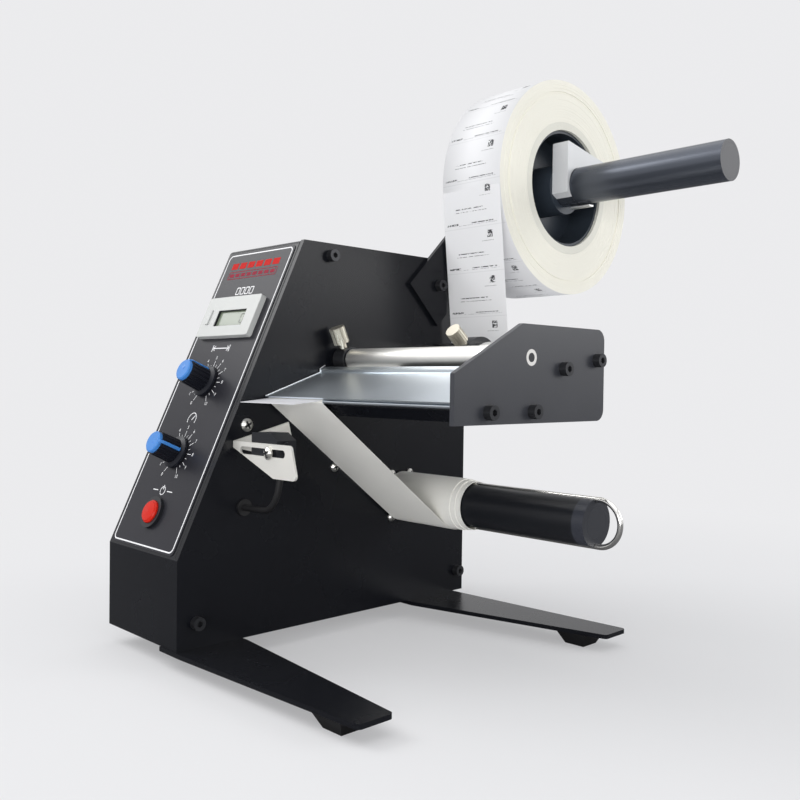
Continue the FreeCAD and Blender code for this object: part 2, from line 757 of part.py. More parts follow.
# Supply arm, axle and label roll
corner_dy = f"(housing_length - corner_rear - {arm_screw_y})"
corner_dz = f"(housing_height - corner_high - {arm_screw_z})"
arm = plate("supply_arm", "YZ_Plane", [
    ("-arm_tail", "-arm_width / 2"), (f"{arm_along} + arm_tip", "-arm_width / 2"),
    (f"{arm_along} + arm_tip", "arm_width / 2"), ("-arm_tail", "arm_width / 2")],
    "arm_thickness", [
        ("0", "0", "socket_radius + screw_slack"),
        (f"{corner_dy} * cos(arm_angle) + {corner_dz} * sin(arm_angle)",
         f"{corner_dz} * cos(arm_angle) - {corner_dy} * sin(arm_angle)",
         "socket_radius + screw_slack"),
        (arm_along, arm_across, "axle_radius + screw_slack")])
round_edges(arm, "arm_width * 0.4", lambda edge, at: along_axis(edge, (1, 0, 0)) and at.y > 20)
place(arm, "0", arm_screw_y, arm_screw_z, (1, 0, 0), "arm_angle")
axle_bolt = rod_x("axle_bolt", "0", supply_y, supply_z, "axle_radius",
                  "supply_tube_end - cap_length - 4")
axle_head = doc.addObject("Part::Prism", "axle_head")
axle_head.Polygon = 6
bind(axle_head, "Circumradius", "axle_head")
bind(axle_head, "Height", "axle_head_height")
place(axle_head, "-axle_head_height", supply_y, supply_z, (0, 1, 0), 90)
supply_axle = join("supply_axle", [axle_bolt, axle_head])

bore = "(supply_radius - tube_wall)"
clamp_end = f"({roll_right} - clamp_lap + clamp_thickness)"
supply_tube = turned("supply_tube", [
    (bore, "0"), ("supply_radius", "0"), ("supply_radius", f"{clamp_end} - tube_start"),
    ("supply_radius - clamp_groove", f"{clamp_end} - tube_start"),
    ("supply_radius - clamp_groove", f"{clamp_end} - tube_start + 1"),
    ("supply_radius", f"{clamp_end} - tube_start + 1"),
    ("supply_radius", "supply_tube_end - tube_start"), (bore, "supply_tube_end - tube_start")])
place(supply_tube, "tube_start", supply_y, supply_z, (0, 1, 0), 90)
bushes = []
for i, start in enumerate(("tube_start", "supply_tube_end - cap_length - 24")):
    bushes.append(cut(f"bush_{i}", rod_x(f"bush_bar_{i}", start, supply_y, supply_z,
                                         f"{bore} - seat_slack", "bush_length"),
                      [rod_x(f"bush_bore_{i}", f"{start} - 1", supply_y, supply_z,
                             "axle_radius + running_slack", "bush_length + 2")]))
end_cap = rod_x("end_cap", "supply_tube_end - cap_length", supply_y, supply_z,
                f"{bore} - seat_slack", "cap_length")
supply_bushes = group("supply_bushes", bushes + [end_cap])

hub = turned("core_hub", [
    ("supply_radius + seat_slack", "0"), ("hub_radius", "0"), ("hub_radius", "hub_depth"),
    ("core_bore - hub_rim", "hub_depth"), ("core_bore - hub_rim", "0"),
    ("core_bore - 0.2", "0"), ("core_bore - 0.2", "web_width - 3"),
    ("core_bore - hub_rim", "web_width - 3"), ("core_bore - hub_rim", "hub_depth + hub_web"),
    ("hub_radius", "hub_depth + hub_web"), ("hub_radius", "web_width - clamp_lap - 1"),
    ("supply_radius + seat_slack", "web_width - clamp_lap - 1")])
place(hub, "web_left + 1", supply_y, supply_z, (0, 1, 0), 90)
clamp_block = plate("clamp_block", "YZ_Plane", [
    ("-14", "27.5"), ("-14", "-5.5"), ("-8", "-8.5"), ("14", "-3"), ("30", "17"), ("28", "20")],
    "clamp_thickness")
round_edges(clamp_block, "0.8", lambda edge, at: along_axis(edge, (1, 0, 0)) and at.z > 0)
place(clamp_block, f"{roll_right} - clamp_lap", supply_y, supply_z)
core_clamp = cut("core_clamp", clamp_block, [
    rod_x("clamp_bore", f"{roll_right} - clamp_lap - 1", supply_y, supply_z,
          "supply_radius + seat_slack", "clamp_thickness + 2")])


def ring(name, x, y, z, inner, outer, length):
    return cut(name, rod_x(name + "_bar", x, y, z, outer, length),
               [rod_x(name + "_bore", f"{x} - 1", y, z, inner, f"{length} + 2")])


label_core = ring("label_core", "web_left", supply_y, supply_z, "core_bore", core_radius,
                  "web_width")
label_roll = ring("label_roll", "web_left", supply_y, supply_z,
                  f"{core_radius} + seat_slack", "roll_radius", "web_width")

# Gear motor and take-up reel
gearbox = rod_x("gearbox", "-side_wall - gearbox_length", "takeup_y", "takeup_z",
                "motor_radius", "gearbox_length")
can = rod_x("motor_can_bar", "-side_wall - gearbox_length - motor_length", "takeup_y",
            "takeup_z", "motor_can", "motor_length")
boss = rod_x("motor_boss_bar", "-side_wall", "takeup_y", "takeup_z", "motor_boss",
             "side_wall - 0.2")
motor_bores = [rod_x("motor_bore", "-side_wall - 14", "takeup_y", "takeup_z",
                     "output_shaft + running_slack", "20")]
for i, (y, z) in enumerate(motor_places):
    motor_bores.append(rod_x(f"motor_tap_{i}", "-side_wall - 5", y, z,
                             "pan_radius + screw_slack", "6"))
gear_motor = cut("gear_motor", join("motor_solid", [gearbox, can, boss]), motor_bores)
pan_places = motor_places + [("board_screw_y", "board_screw_z")]
pan_screws = group("pan_screws", [pan_screw(f"pan_screw_{i}", "0", y, z, "side_wall + 4")
                                  for i, (y, z) in enumerate(pan_places)]
                   + [pan_screw("bracket_screw", "0", "bracket_screw_y", "bracket_screw_z",
                                "side_wall + 4", 1, "large_pan_head")])

takeup_shaft = rod_x("takeup_shaft", "-side_wall - 13", "takeup_y", "takeup_z", "output_shaft",
                     "side_wall + 13 + takeup_tube_start + takeup_hub - 1")
takeup_length = "(takeup_tube_end - takeup_tube_start)"
grooves = []
for i, side in enumerate((1, -1)):
    grooves.append(rod_x(f"groove_{i}", "takeup_tube_end - clip_depth - 2", "takeup_y",
                         f"takeup_z + {side} * clip_set", "clip_wire + clip_slack",
                         "clip_depth + 4"))
takeup_tube = cut("takeup_tube", rod_x("takeup_bar", "takeup_tube_start", "takeup_y",
                                       "takeup_z", "tube_radius", takeup_length),
                  grooves + [
    rod_x("takeup_bore", "takeup_tube_start + takeup_hub", "takeup_y", "takeup_z",
          "tube_radius - 2 * tube_wall", takeup_length),
    rod_x("takeup_seat", "takeup_tube_start - 1", "takeup_y", "takeup_z",
          "output_shaft + seat_slack", "takeup_hub + 2")])
rod_x("takeup_cap", "takeup_tube_end - cap_length", "takeup_y", "takeup_z",
      "tube_radius - 2 * tube_wall - seat_slack", "cap_length")
wound_inner = "(clip_set + clip_wire + clip_slack)"
wound_backing = turned("wound_backing", [
    (wound_inner, "0"), (f"{wound_inner} + 3 * wound_layer", "0"),
    (f"{wound_inner} + 3 * wound_layer", "wound_end - strip_left"),
    (f"{wound_inner} + 2 * wound_layer", "wound_end - strip_left"),
    (f"{wound_inner} + 2 * wound_layer", "wound_end - strip_left + wound_step"),
    (f"{wound_inner} + wound_layer", "wound_end - strip_left + wound_step"),
    (f"{wound_inner} + wound_layer", "wound_end - strip_left + 2 * wound_step"),
    (wound_inner, "wound_end - strip_left + 2 * wound_step")])
place(wound_backing, "strip_left", "takeup_y", "takeup_z", (0, 1, 0), 90)

clip_legs = [rod_x(f"clip_leg_{i}", "takeup_tube_end - clip_depth", "takeup_y",
                   f"takeup_z + {side} * clip_set", "clip_wire", "clip_depth + 2")
             for i, side in enumerate((1, -1))]
clip_bow = doc.addObject("Part::Torus", "clip_bow")
clip_bow.Angle3 = 180
bind(clip_bow, "Radius1", "clip_set")
bind(clip_bow, "Radius2", "clip_wire")
clip_turn = Rotation(Vector(0, 0, 1), Vector(1, 0, 0), Vector(0, 1, 0), "ZXY")
clip_bow.Placement = Placement(Vector(), clip_turn)
place(clip_bow, "takeup_tube_end + 2", "takeup_y", "takeup_z")
takeup_clip = join("takeup_clip", clip_legs + [clip_bow])

# Cantilever plate, rods and rollers
rod_holes = [(y, z, "socket_radius + screw_slack") for y, z in rod_places]
rod_holes.append(("roller_y", "roller_z", "axle_radius + screw_slack"))
outer = plate("outer_plate", "YZ_Plane", [
    ("outer_front", "outer_low"), ("outer_front", "outer_nose"),
    ("outer_top_start", "outer_high"), ("outer_rear", "outer_high"),
    ("outer_rear", "outer_low")], "outer_wall", rod_holes)
round_edges(outer, "outer_corner", lambda edge, at: (
    along_axis(edge, (1, 0, 0)) and at.y > size["outer_rear"] - 1))
place(outer, inner_face, "0", "0")
rod_screws = group("rod_screws", [
    socket_screw(f"outer_screw_{i}", "outer_face", y, z, "outer_wall + 10")
    for i, (y, z) in enumerate(rod_places)] + [
    socket_screw(f"inner_screw_{i}", "-side_wall", y, z, "side_wall + 8", -1)
    for i, (y, z) in enumerate(rod_places)])


def tapped(name, base, y, z):
    """Cuts the two threaded ends of a rod or bar."""
    hole = "socket_radius + screw_slack"
    return cut(name, base, [rod_x(f"{name}_left_tap", "-1", y, z, hole, "10"),
                            rod_x(f"{name}_right_tap", f"{inner_face} - 11", y, z, hole, "12")])


spacer_rod = tapped("spacer_rod", rod_x("spacer_bar", "0", "spacer_y", "spacer_z",
                                        "spacer_radius", inner_face), "spacer_y", "spacer_z")
rear_guide_bar = tapped("rear_guide_bar", rod_x("rear_bar_solid", "0", "rear_bar_y",
                                                "rear_bar_z", "rear_bar_radius", inner_face),
                        "rear_bar_y", "rear_bar_z")
beam_body = plate("beam_solid", "YZ_Plane", [
    ("beam_front", "beam_low + beam_chamfer * 0.8"), ("beam_front + beam_chamfer", "beam_low"),
    ("beam_rear", "beam_low"), ("beam_rear", "beam_high"),
    ("plate_rear_y + 1", "beam_high"),
    ("plate_rear_y + 1", f"plate_front_z + (plate_rear_y + 1 - plate_front_y) * {plate_tan}"
     f" - (plate_wall + web_gap + nose_wall + 0.05) / {plate_cos}"),
    ("beam_front", f"plate_front_z + (beam_front - plate_front_y) * {plate_tan}"
     f" - (plate_wall + web_gap + nose_wall + 0.05) / {plate_cos}")], inner_face)
place(beam_body, "0", "0", "0")
beam_taps = []
for i, y in enumerate(("beam_screw_front", "beam_screw_rear")):
    beam_taps.append(rod_x(f"beam_left_tap_{i}", "-1", y, "beam_screw_z",
                           "socket_radius + screw_slack", "10"))
    beam_taps.append(rod_x(f"beam_right_tap_{i}", f"{inner_face} - 11", y, "beam_screw_z",
                           "socket_radius + screw_slack", "12"))
base_beam = cut("base_beam", beam_body, beam_taps)

shaft_bar = rod_x("shaft_bar", "-side_wall", "roller_y", "roller_z", "axle_radius",
                  "outer_face + side_wall")
roller_shaft = cut("roller_shaft", shaft_bar, [
    rod_x("shaft_centre", "outer_face - 3", "roller_y", "roller_z", "pan_radius", "4")])
guide_roller = ring("guide_roller", "roller_start", "roller_y", "roller_z",
                    "axle_radius + running_slack", "roller_radius",
                    f"{inner_face} - roller_start - roller_gap")


def collar(name, x, y, z, bore_radius, outer_radius, width, lean):
    """A ring with a radial threaded hole for its thumb screw, leaning to the front."""
    hole = rod(name + "_tap", "thumb_shank + running_slack", outer_radius)
    place(hole, f"{x} + {width} / 2", y, z, (1, 0, 0), lean)
    return cut(name, rod_x(name + "_bar", x, y, z, outer_radius, width),
               [rod_x(name + "_bore", f"{x} - 1", y, z, bore_radius, f"{width} + 2"), hole])


def thumb_screw(name, x, y, z, seat, reach, lean):
    """A knurled thumb screw whose head stands on the collar's outside at radius reach."""
    screw = turned(name, [
        ("0", seat), ("thumb_shank", seat), ("thumb_shank", f"{reach} + 0.1"),
        ("thumb_neck", f"{reach} + 0.1"), ("thumb_neck", f"{reach} + thumb_neck_height"),
        ("thumb_head", f"{reach} + thumb_neck_height"),
        ("thumb_head", f"{reach} + thumb_neck_height + thumb_head_height"),
        ("0", f"{reach} + thumb_neck_height + thumb_head_height")])
    notch_round(screw, "thumb_notch", "thumb_head", 16, f"{reach} + thumb_neck_height",
                "thumb_head_height")
    return place(screw, x, y, z, (1, 0, 0), lean)


left_collar = collar("left_collar", "left_collar_start", "roller_y", "roller_z",
                     "axle_radius + seat_slack", "left_collar_radius", "left_collar_width",
                     "left_thumb_lean")
thumb_screw("left_thumb_screw", "left_collar_start + left_collar_width / 2", "roller_y",
            "roller_z", "axle_radius + 0.1", "left_collar_radius", "left_thumb_lean")
guide_start = f"{roll_right} + guide_gap"
right_guide = collar("right_guide", guide_start, "rear_bar_y", "rear_bar_z",
                     "rear_bar_radius + running_slack", "guide_radius", "guide_width",
                     "right_thumb_lean")
thumb_screw("right_thumb_screw", f"{guide_start} + guide_width / 2", "rear_bar_y",
            "rear_bar_z", "rear_bar_radius + 0.15", "guide_radius", "right_thumb_lean")

# Stripping plate: a cover over the web and a hemmed plate below it
drop = f"plate_wall / {plate_cos}"
lip_slope = "(plate_lip_rise / plate_lip_run)"
cover = plate("cover_plate", "YZ_Plane", [
    ("plate_front_y", "plate_front_z"), ("plate_rear_y", "plate_rear_z"),
    ("plate_rear_y", "plate_rear_z + plate_lip_step"),
    ("plate_rear_y + plate_lip_run", "plate_rear_z + plate_lip_step + plate_lip_rise"),
    ("plate_rear_y + plate_lip_run + plate_wall * 0.35",
     "plate_rear_z + plate_lip_step + plate_lip_rise - plate_wall * 0.9"),
    ("plate_rear_y + plate_wall", f"plate_rear_z + plate_lip_step - plate_wall * (1 - {lip_slope})"),
    ("plate_rear_y + plate_wall", f"plate_rear_z + plate_wall * {plate_tan} - {drop}"),
    ("plate_front_y + 0.3", f"plate_front_z + 0.3 * {plate_tan} - {drop}")],
    f"{inner_face} - 2 * plate_start")
place(cover, "plate_start", "0", "0")
peel = plate("peel_sheet", "YZ_Plane", [
    ("0.6", "0"), (f"{plate_length} - 2.5", "0"), (f"{plate_length} - 2.5", "-nose_wall"),
    ("1.2 * nose_wall", "-nose_wall"), ("1.2 * nose_wall", "-1.2 * nose_wall"),
    ("nose_hem", "-1.2 * nose_wall"), ("nose_hem", "-2.2 * nose_wall"),
    ("0.6", "-2.2 * nose_wall")], f"{inner_face} - 2 * plate_start")
round_edges(peel, "nose_wall", lambda edge, at: along_axis(edge, (1, 0, 0)) and at.y < 0.7)
on_plate(peel, "plate_start", "0", "-plate_wall - web_gap")
shim = block("peel_step", f"{inner_face} - shim_start - plate_start", f"{plate_length} - 5",
             "web_gap")
on_plate(shim, "shim_start", "2", "-plate_wall - web_gap")
peel_plate = join("peel_plate", [peel, shim])

# Photo sensor bracket, sensor and cable
foot_plate = plate("bracket_side", "YZ_Plane", [
    ("0", "0"), ("bracket_length", "0"), ("bracket_length", "-18.5"),
    ("bracket_length - 8", "-18.5"), ("0", "-4")], "bracket_wall")
round_edges(foot_plate, "3", lambda edge, at: (
    along_axis(edge, (1, 0, 0)) and at.y > size["bracket_length"] - 1 and at.z < -9))
place(foot_plate, "bracket_start", "bracket_y", "bracket_top", (1, 0, 0), "bracket_tilt")
face_plate = plate("bracket_face", "XZ_Plane", [
    ("bracket_start", "bracket_top"), ("bracket_reach", "bracket_top + 0.2"),
    ("bracket_reach + 5", "bracket_low + 0.2"), ("36.6", "bracket_low"),
    ("bracket_start", "bracket_top - 3.4")], "bracket_wall")
round_edges(face_plate, "2.5", lambda edge, at: along_axis(edge, (0, 1, 0)) and at.x > size["slot_end"])
place(face_plate, "0", "bracket_y + bracket_wall", "0")
slot = join("slot_tool", [
    block_at("slot_middle", "slot_start", "bracket_y - 1", "slot_z - slot_half",
             "slot_end - slot_start", "bracket_wall + 4", "2 * slot_half"),
    place(rod("slot_left", "slot_half", "bracket_wall + 4"), "slot_start",
          "bracket_y + bracket_wall + 3", "slot_z", (1, 0, 0), 90),
    place(rod("slot_right", "slot_half", "bracket_wall + 4"), "slot_end",
          "bracket_y + bracket_wall + 3", "slot_z", (1, 0, 0), 90)])
sensor_bracket = cut("sensor_bracket", join("bracket_solid", [face_plate, foot_plate]), [slot])

sensor_back = "bracket_y + bracket_wall + 0.1"
sensor_box = plate("sensor_box", "XZ_Plane", [
    ("-sensor_left", "sensor_low"), ("sensor_right", "sensor_low"),
    ("sensor_right", "sensor_high - 3.4"), ("-1.4", "sensor_high + 0.4"),
    ("-sensor_left", "sensor_high")], "sensor_length")
place(sensor_box, "sensor_x", f"{sensor_back} + sensor_length", "0")
sensor_lens = rod_x("sensor_lens", "sensor_x + sensor_right - 1",
                    f"{sensor_back} + sensor_length / 2", "sensor_high - 7.2", "3.2", "2.6")
label_sensor = join("label_sensor", [sensor_box, sensor_lens])
sensor_shank = place(rod("sensor_shank", "pan_radius", "bracket_wall + 0.6"), "sensor_x",
                     sensor_back, "slot_z", (1, 0, 0), 90)
sensor_pan = turned("sensor_pan", [
    ("0", "0"), ("pan_head + 0.8", "0"), ("pan_head + 0.8", "0.6"), ("pan_head", "0.7"),
    ("pan_head", "pan_head_height * 0.5"), ("pan_head * 0.5", "pan_head_height"),
    ("0", "pan_head_height")])
place(sensor_pan, "sensor_x", "bracket_y - 0.1", "slot_z", (1, 0, 0), 90)
sensor_screw = join("sensor_screw", [sensor_shank, sensor_pan])


def rounded_route(points):
    """A wire through points whose corners are arcs as large as the runs allow."""
    edges = []
    at = points[0]
    for before, corner, after in zip(points, points[1:], points[2:]):
        back, ahead = before - corner, after - corner
        turn = math.pi - back.getAngle(ahead)
        trim = 0.45 * min(back.Length, ahead.Length)
        radius = trim / math.tan(turn / 2)
        print(f"cable bend radius {radius:.1f} mm")
        start = corner + back.normalize() * trim
        end = corner + ahead.normalize() * trim
        bisector = (back + ahead).normalize()
        centre = corner + bisector * (radius / math.cos(turn / 2))
        middle = centre - bisector * radius
        edges.append(Part.LineSegment(at, start).toShape())
        edges.append(Part.Arc(start, middle, end).toShape())
        at = end
    edges.append(Part.LineSegment(at, points[-1]).toShape())
    return Part.Wire(edges)


def feature(name, shape):
    """A piece whose shape is made from values of the sheet."""
    made = doc.addObject("Part::Feature", name)
    made.Shape = shape
    made.Placement = Placement(side_plate_origin(), Rotation())
    return made


def side_plate_origin():
    """The part's shift, read back from the placed side plate."""
    doc.recompute()
    return side_plate.Placement.Base + Vector(size["side_wall"], 0, 0)


cable_y = size["bracket_y"] + size["bracket_wall"] + size["sensor_length"] / 2
cable_top = size["sensor_low"]
cable_points = [Vector(size["sensor_x"], cable_y, cable_top),
                Vector(size["sensor_x"], cable_y, cable_top - 10),
                Vector(size["sensor_x"] - 2.5, cable_y, cable_top - 19),
                Vector(size["sensor_x"] - 9, cable_y, cable_top - 26),
                Vector(size["sensor_x"] - 19, cable_y, size["cable_z"]),
                Vector(-14, cable_y, size["cable_z"])]
cable_line = rounded_route(cable_points)
cable_end = Part.Wire(Part.Circle(cable_points[0], Vector(0, 0, 1), size["cable_radius"]).toShape())
feature("sensor_cable", cable_line.makePipeShell([cable_end], True, False))
grommet_y = "bracket_y + bracket_wall + sensor_length / 2"
cable_grommet = cut("cable_grommet", join("grommet_solid", [
    rod_x("grommet_flange", "0", grommet_y, "cable_z", "grommet_radius", "1.4"),
    rod_x("grommet_neck", "-side_wall", grommet_y, "cable_z", "grommet_radius - 1.05",
          "side_wall")]),
    [rod_x("grommet_bore", "-side_wall - 1", grommet_y, "cable_z", "cable_radius + 0.1",
           "side_wall + 4")])


# Label web and backing strip: bands that follow tangents round the roll, rods and nose
def tangent(first, second):
    """Angles at which a band leaves one circle and meets the next. A circle is
    (y, z, radius, sense), with sense 1 for a band that runs anticlockwise."""
    dy, dz = second[0] - first[0], second[1] - first[1]
    gap = math.hypot(dy, dz)
    heading = math.atan2(dz, dy)
    lean = math.asin((first[3] * first[2] - second[3] * second[2]) / gap)
    direction = heading + lean
    return direction - first[3] * math.pi / 2, direction - second[3] * math.pi / 2


def on_circle(circle, angle, offset, x):
    radius = circle[2] + offset
    return Vector(x, circle[0] + radius * math.cos(angle), circle[1] + radius * math.sin(angle))


def band(circles, thickness, start, width, first_angle=None, last_angle=None):
    """A thin band round the circles, as straight stretches and ring sectors."""
    pieces = []
    half = thickness / 2
    meets = [tangent(a, b) for a, b in zip(circles, circles[1:])]
    for i, circle in enumerate(circles):
        arrive = meets[i - 1][1] if i else first_angle
        leave = meets[i][0] if i < len(circles) - 1 else last_angle
        if arrive is not None and leave is not None:
            sense = circle[3]
            sweep = (sense * (leave - arrive)) % (2 * math.pi)
            mid = arrive + sense * sweep / 2
            rim = [[on_circle(circle, angle, side, start) for angle in (arrive, mid, leave)]
                   for side in (half, -half)]
            edges = [Part.Arc(*rim[0]).toShape(),
                     Part.LineSegment(rim[0][2], rim[1][2]).toShape(),
                     Part.Arc(*rim[1]).toShape(),
                     Part.LineSegment(rim[1][0], rim[0][0]).toShape()]
            pieces.append(Part.Face(Part.Wire(Part.__sortEdges__(edges))))
        if i < len(circles) - 1:
            a, b = meets[i]
            after = circles[i + 1]
            corners = [on_circle(circle, a, circle[3] * half, start),
                       on_circle(after, b, after[3] * half, start),
                       on_circle(after, b, -after[3] * half, start),
                       on_circle(circle, a, -circle[3] * half, start)]
            pieces.append(Part.Face(Part.makePolygon(corners + corners[:1])))
    solids = [piece.extrude(Vector(width, 0, 0)) for piece in pieces]
    return solids[0].fuse(solids[1:]).removeSplitter()


web_half = size["web_thickness"] / 2
clear = 0.3
slope = math.atan2(size["plate_rear_z"] - size["plate_front_z"],
                   size["plate_rear_y"] - size["plate_front_y"])


def plate_point(along, out):
    """A point of the stripping plate: along its slope, and out from the cover's top."""
    return (size["plate_front_y"] + along * math.cos(slope) - out * math.sin(slope),
            size["plate_front_z"] + along * math.sin(slope) + out * math.cos(slope))


leaf_top = -size["plate_wall"] - size["web_gap"]
slope_length_mm = math.hypot(size["plate_rear_y"] - size["plate_front_y"],
                             size["plate_rear_z"] - size["plate_front_z"])
entry_radius = 3.0
entry = plate_point(slope_length_mm - 2, leaf_top - entry_radius)
lie = size["web_gap"] / 2
nose_radius = 1.1 * size["nose_wall"]
nose = plate_point(0.6 + nose_radius, leaf_top - nose_radius)
roll_circle = (size["housing_length"] + size["supply_behind"],
               size["housing_height"] + size["supply_above"],
               size["roll_radius"] + clear + web_half, 1)
slack_loop = (size["rear_bar_y"] + 13.0, size["rear_bar_z"] + 13.5, 25.4, -1)
rear_bar_circle = (size["rear_bar_y"], size["rear_bar_z"],
                   size["rear_bar_radius"] + clear + web_half, -1)
spacer_circle = (size["spacer_y"], size["spacer_z"], size["spacer_radius"] + clear + web_half, 1)
roller_circle = (size["roller_y"], size["roller_z"], size["left_collar_radius"] + clear + web_half,
                 -1)
entry_circle = (entry[0], entry[1], entry_radius + lie, 1)
nose_circle = (nose[0], nose[1], nose_radius + lie, 1)
takeup_outer = (size["clip_set"] + size["clip_wire"] + size["clip_slack"]
                + 3 * size["wound_layer"])
takeup_circle = (size["takeup_y"], size["takeup_z"],
                 takeup_outer + clear + size["strip_thickness"] / 2, 1)
nose_top = tangent(entry_circle, nose_circle)[1]
web_circles = [roll_circle, slack_loop, rear_bar_circle, spacer_circle, roller_circle,
               entry_circle, nose_circle]
feature("label_web", band(web_circles, size["web_thickness"], size["web_left"],
                          size["web_width"]))
strip_circle = (nose[0], nose[1], nose_radius + 0.06 + size["strip_thickness"] / 2, 1)
feature("backing_strip", band([strip_circle, takeup_circle], size["strip_thickness"],
                              size["strip_left"], size["strip_width"],
                              first_angle=nose_top, last_angle=-math.pi / 2 + 0.35))
label_start = plate_point(-0.3, leaf_top + lie)
label_rear = Vector(size["strip_left"], label_start[0], label_start[1])
label_front = label_rear - Vector(0, size["label_reach"], size["label_drop"])
label_under = Vector(0, 0, -size["label_thickness"])
label_face = Part.Face(Part.makePolygon([label_rear, label_front, label_front + label_under,
                                         label_rear + label_under, label_rear]))
feature("dispensed_label", label_face.extrude(Vector(size["strip_width"], 0, 0)))

# Mains inlet in the rear wall
inlet_flange = block_at("inlet_flange", "-inlet_x - inlet_width / 2", "housing_length",
                        "inlet_z - inlet_height / 2", "inlet_width", "inlet_wall",
                        "inlet_height")
inlet_case = block_at("inlet_case", "-inlet_x - inlet_case_width / 2",
                      "housing_length - inlet_depth", "inlet_z - inlet_case_height / 2",
                      "inlet_case_width", "inlet_depth", "inlet_case_height")
inlet_well = block_at("inlet_well", "-inlet_x - inlet_case_width / 2 + inlet_case_wall",
                      "housing_length - inlet_depth + inlet_case_wall",
                      "inlet_z - inlet_case_height / 2 + inlet_case_wall",
                      "inlet_case_width - 2 * inlet_case_wall", "inlet_depth + inlet_wall",
                      "inlet_case_height - 2 * inlet_case_wall")
inlet_shell = cut("inlet_shell", join("inlet_solid", [inlet_flange, inlet_case]), [inlet_well])
blades = []
for i, (across, up) in enumerate((("-7", "-4"), ("0", "0"), ("7", "-4"))):
    blades.append(block_at(f"blade_{i}", f"-inlet_x + {across} - 1",
                           "housing_length - inlet_depth", f"inlet_z + {up} - 2", "2",
                           "blade_length", "4"))
power_inlet = join("power_inlet", [inlet_shell] + blades)

# Control board on the side plate's inside
board = block_at("board_sheet", "-side_wall - board_stand - board_thickness",
                 "board_screw_y - board_length * 0.6", "board_screw_z - 8", "board_thickness",
                 "board_length", "board_height")
stand = rod_x("board_stand_off", "-side_wall - board_stand", "board_screw_y", "board_screw_z",
              "3", "board_stand")
stand_tap = rod_x("board_tap", "-side_wall - 5", "board_screw_y", "board_screw_z",
                  "pan_radius + screw_slack", "6")
supply_module = block_at("supply_module", "-side_wall - board_stand - board_thickness - 18",
                         "board_screw_y - 36", "board_screw_z + 10", "18", "34", "24")
capacitor = place(rod("capacitor", "5", "14"), "-side_wall - board_stand - board_thickness",
                  "board_screw_y - 6", "board_screw_z + 34", (0, 1, 0), -90)
control_board = cut("control_board", join("board_solid",
                                          [board, stand, supply_module, capacitor]), [stand_tap])

nodes = [
    "side_plate", "main_shell", "left_cover", "bottom_plate", "corner_posts", "side_screws",
    "cover_screws", "panel_overlay", "counter_bezel", "counter_window", "counter_body",
    "counter_reset", "potentiometers", "length_knob", "length_knob_cap", "speed_knob",
    "speed_knob_cap", "power_switch", "power_button",
    "front_foot_bar", "rear_foot_bar", "rubber_feet", "supply_arm", "supply_axle",
    "supply_tube", "supply_bushes", "core_hub", "core_clamp", "label_core",
    "label_roll", "gear_motor", "pan_screws", "takeup_shaft", "takeup_tube", "takeup_cap",
    "wound_backing", "takeup_clip", "outer_plate", "rod_screws", "spacer_rod",
    "rear_guide_bar", "base_beam", "roller_shaft", "guide_roller",
    "left_collar", "left_thumb_screw", "right_guide", "right_thumb_screw", "cover_plate",
    "peel_plate", "label_web", "backing_strip", "dispensed_label",
    "sensor_bracket", "label_sensor", "sensor_screw", "sensor_cable", "cable_grommet",
    "power_inlet", "control_board",
]

doc.recompute()
for obj in doc.Objects:
    if "Invalid" in obj.State or "Error" in obj.State:
        raise RuntimeError(f"{obj.Name} failed: {obj.State}")
os.makedirs("parts", exist_ok=True)
for name in nodes:
    obj = doc.getObject(name)
    obj.Label = name
    shape = obj.Shape
    if shape.isNull() or not shape.isValid():
        raise RuntimeError(f"{name} has no valid shape")
    shape.exportStep(f"parts/{name}.step")
    print(f"{name}: {len(shape.Solids)} solids, {shape.Volume:.1f} mm3")
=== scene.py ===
import math
import random

import bmesh
import bpy
from mathutils import Matrix, Vector


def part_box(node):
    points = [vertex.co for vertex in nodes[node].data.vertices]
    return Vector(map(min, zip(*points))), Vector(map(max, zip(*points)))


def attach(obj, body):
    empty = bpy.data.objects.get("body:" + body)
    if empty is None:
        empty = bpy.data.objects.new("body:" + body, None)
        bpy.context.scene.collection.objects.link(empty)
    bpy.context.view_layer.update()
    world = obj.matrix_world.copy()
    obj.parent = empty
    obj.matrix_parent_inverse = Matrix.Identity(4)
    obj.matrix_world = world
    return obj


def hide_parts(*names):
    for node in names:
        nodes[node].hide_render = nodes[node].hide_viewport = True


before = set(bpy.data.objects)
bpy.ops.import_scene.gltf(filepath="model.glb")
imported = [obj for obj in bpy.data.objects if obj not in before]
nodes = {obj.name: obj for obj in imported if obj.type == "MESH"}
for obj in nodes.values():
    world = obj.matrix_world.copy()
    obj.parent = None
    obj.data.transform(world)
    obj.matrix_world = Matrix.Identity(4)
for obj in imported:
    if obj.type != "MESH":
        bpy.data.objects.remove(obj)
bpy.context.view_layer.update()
random.seed(7)

acrossAxis, depthAxis, upAxis = Vector((1, 0, 0)), Vector((0, 1, 0)), Vector((0, 0, 1))

# The housing's front lower right corner, from the right plate's own box
plateThickness = 0.003
plateLow = Vector(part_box("side_plate")[0])
corner = plateLow + acrossAxis * plateThickness


def at(x, y, z):
    """A point of the housing's frame, in millimetres, as a place in the scene."""
    return corner + Vector((x, y, z)) / 1000


# The control panel's slope in millimetres: its foot, its run, its rise and the film's face
frontHeight = 46.8
slopeRun = 79.4
slopeRise = 173.0
slopeAngle = math.atan2(slopeRise, slopeRun)
filmTop = 0.4


def onPanel(x, up, out=0.0):
    """A point of the control panel: across, up the slope and out from the sheet metal."""
    y = up * math.cos(slopeAngle) - out * math.sin(slopeAngle)
    z = frontHeight + up * math.sin(slopeAngle) + out * math.cos(slopeAngle)
    return at(x, y, z)


# ---------------------------------------------------------------- shader nodes


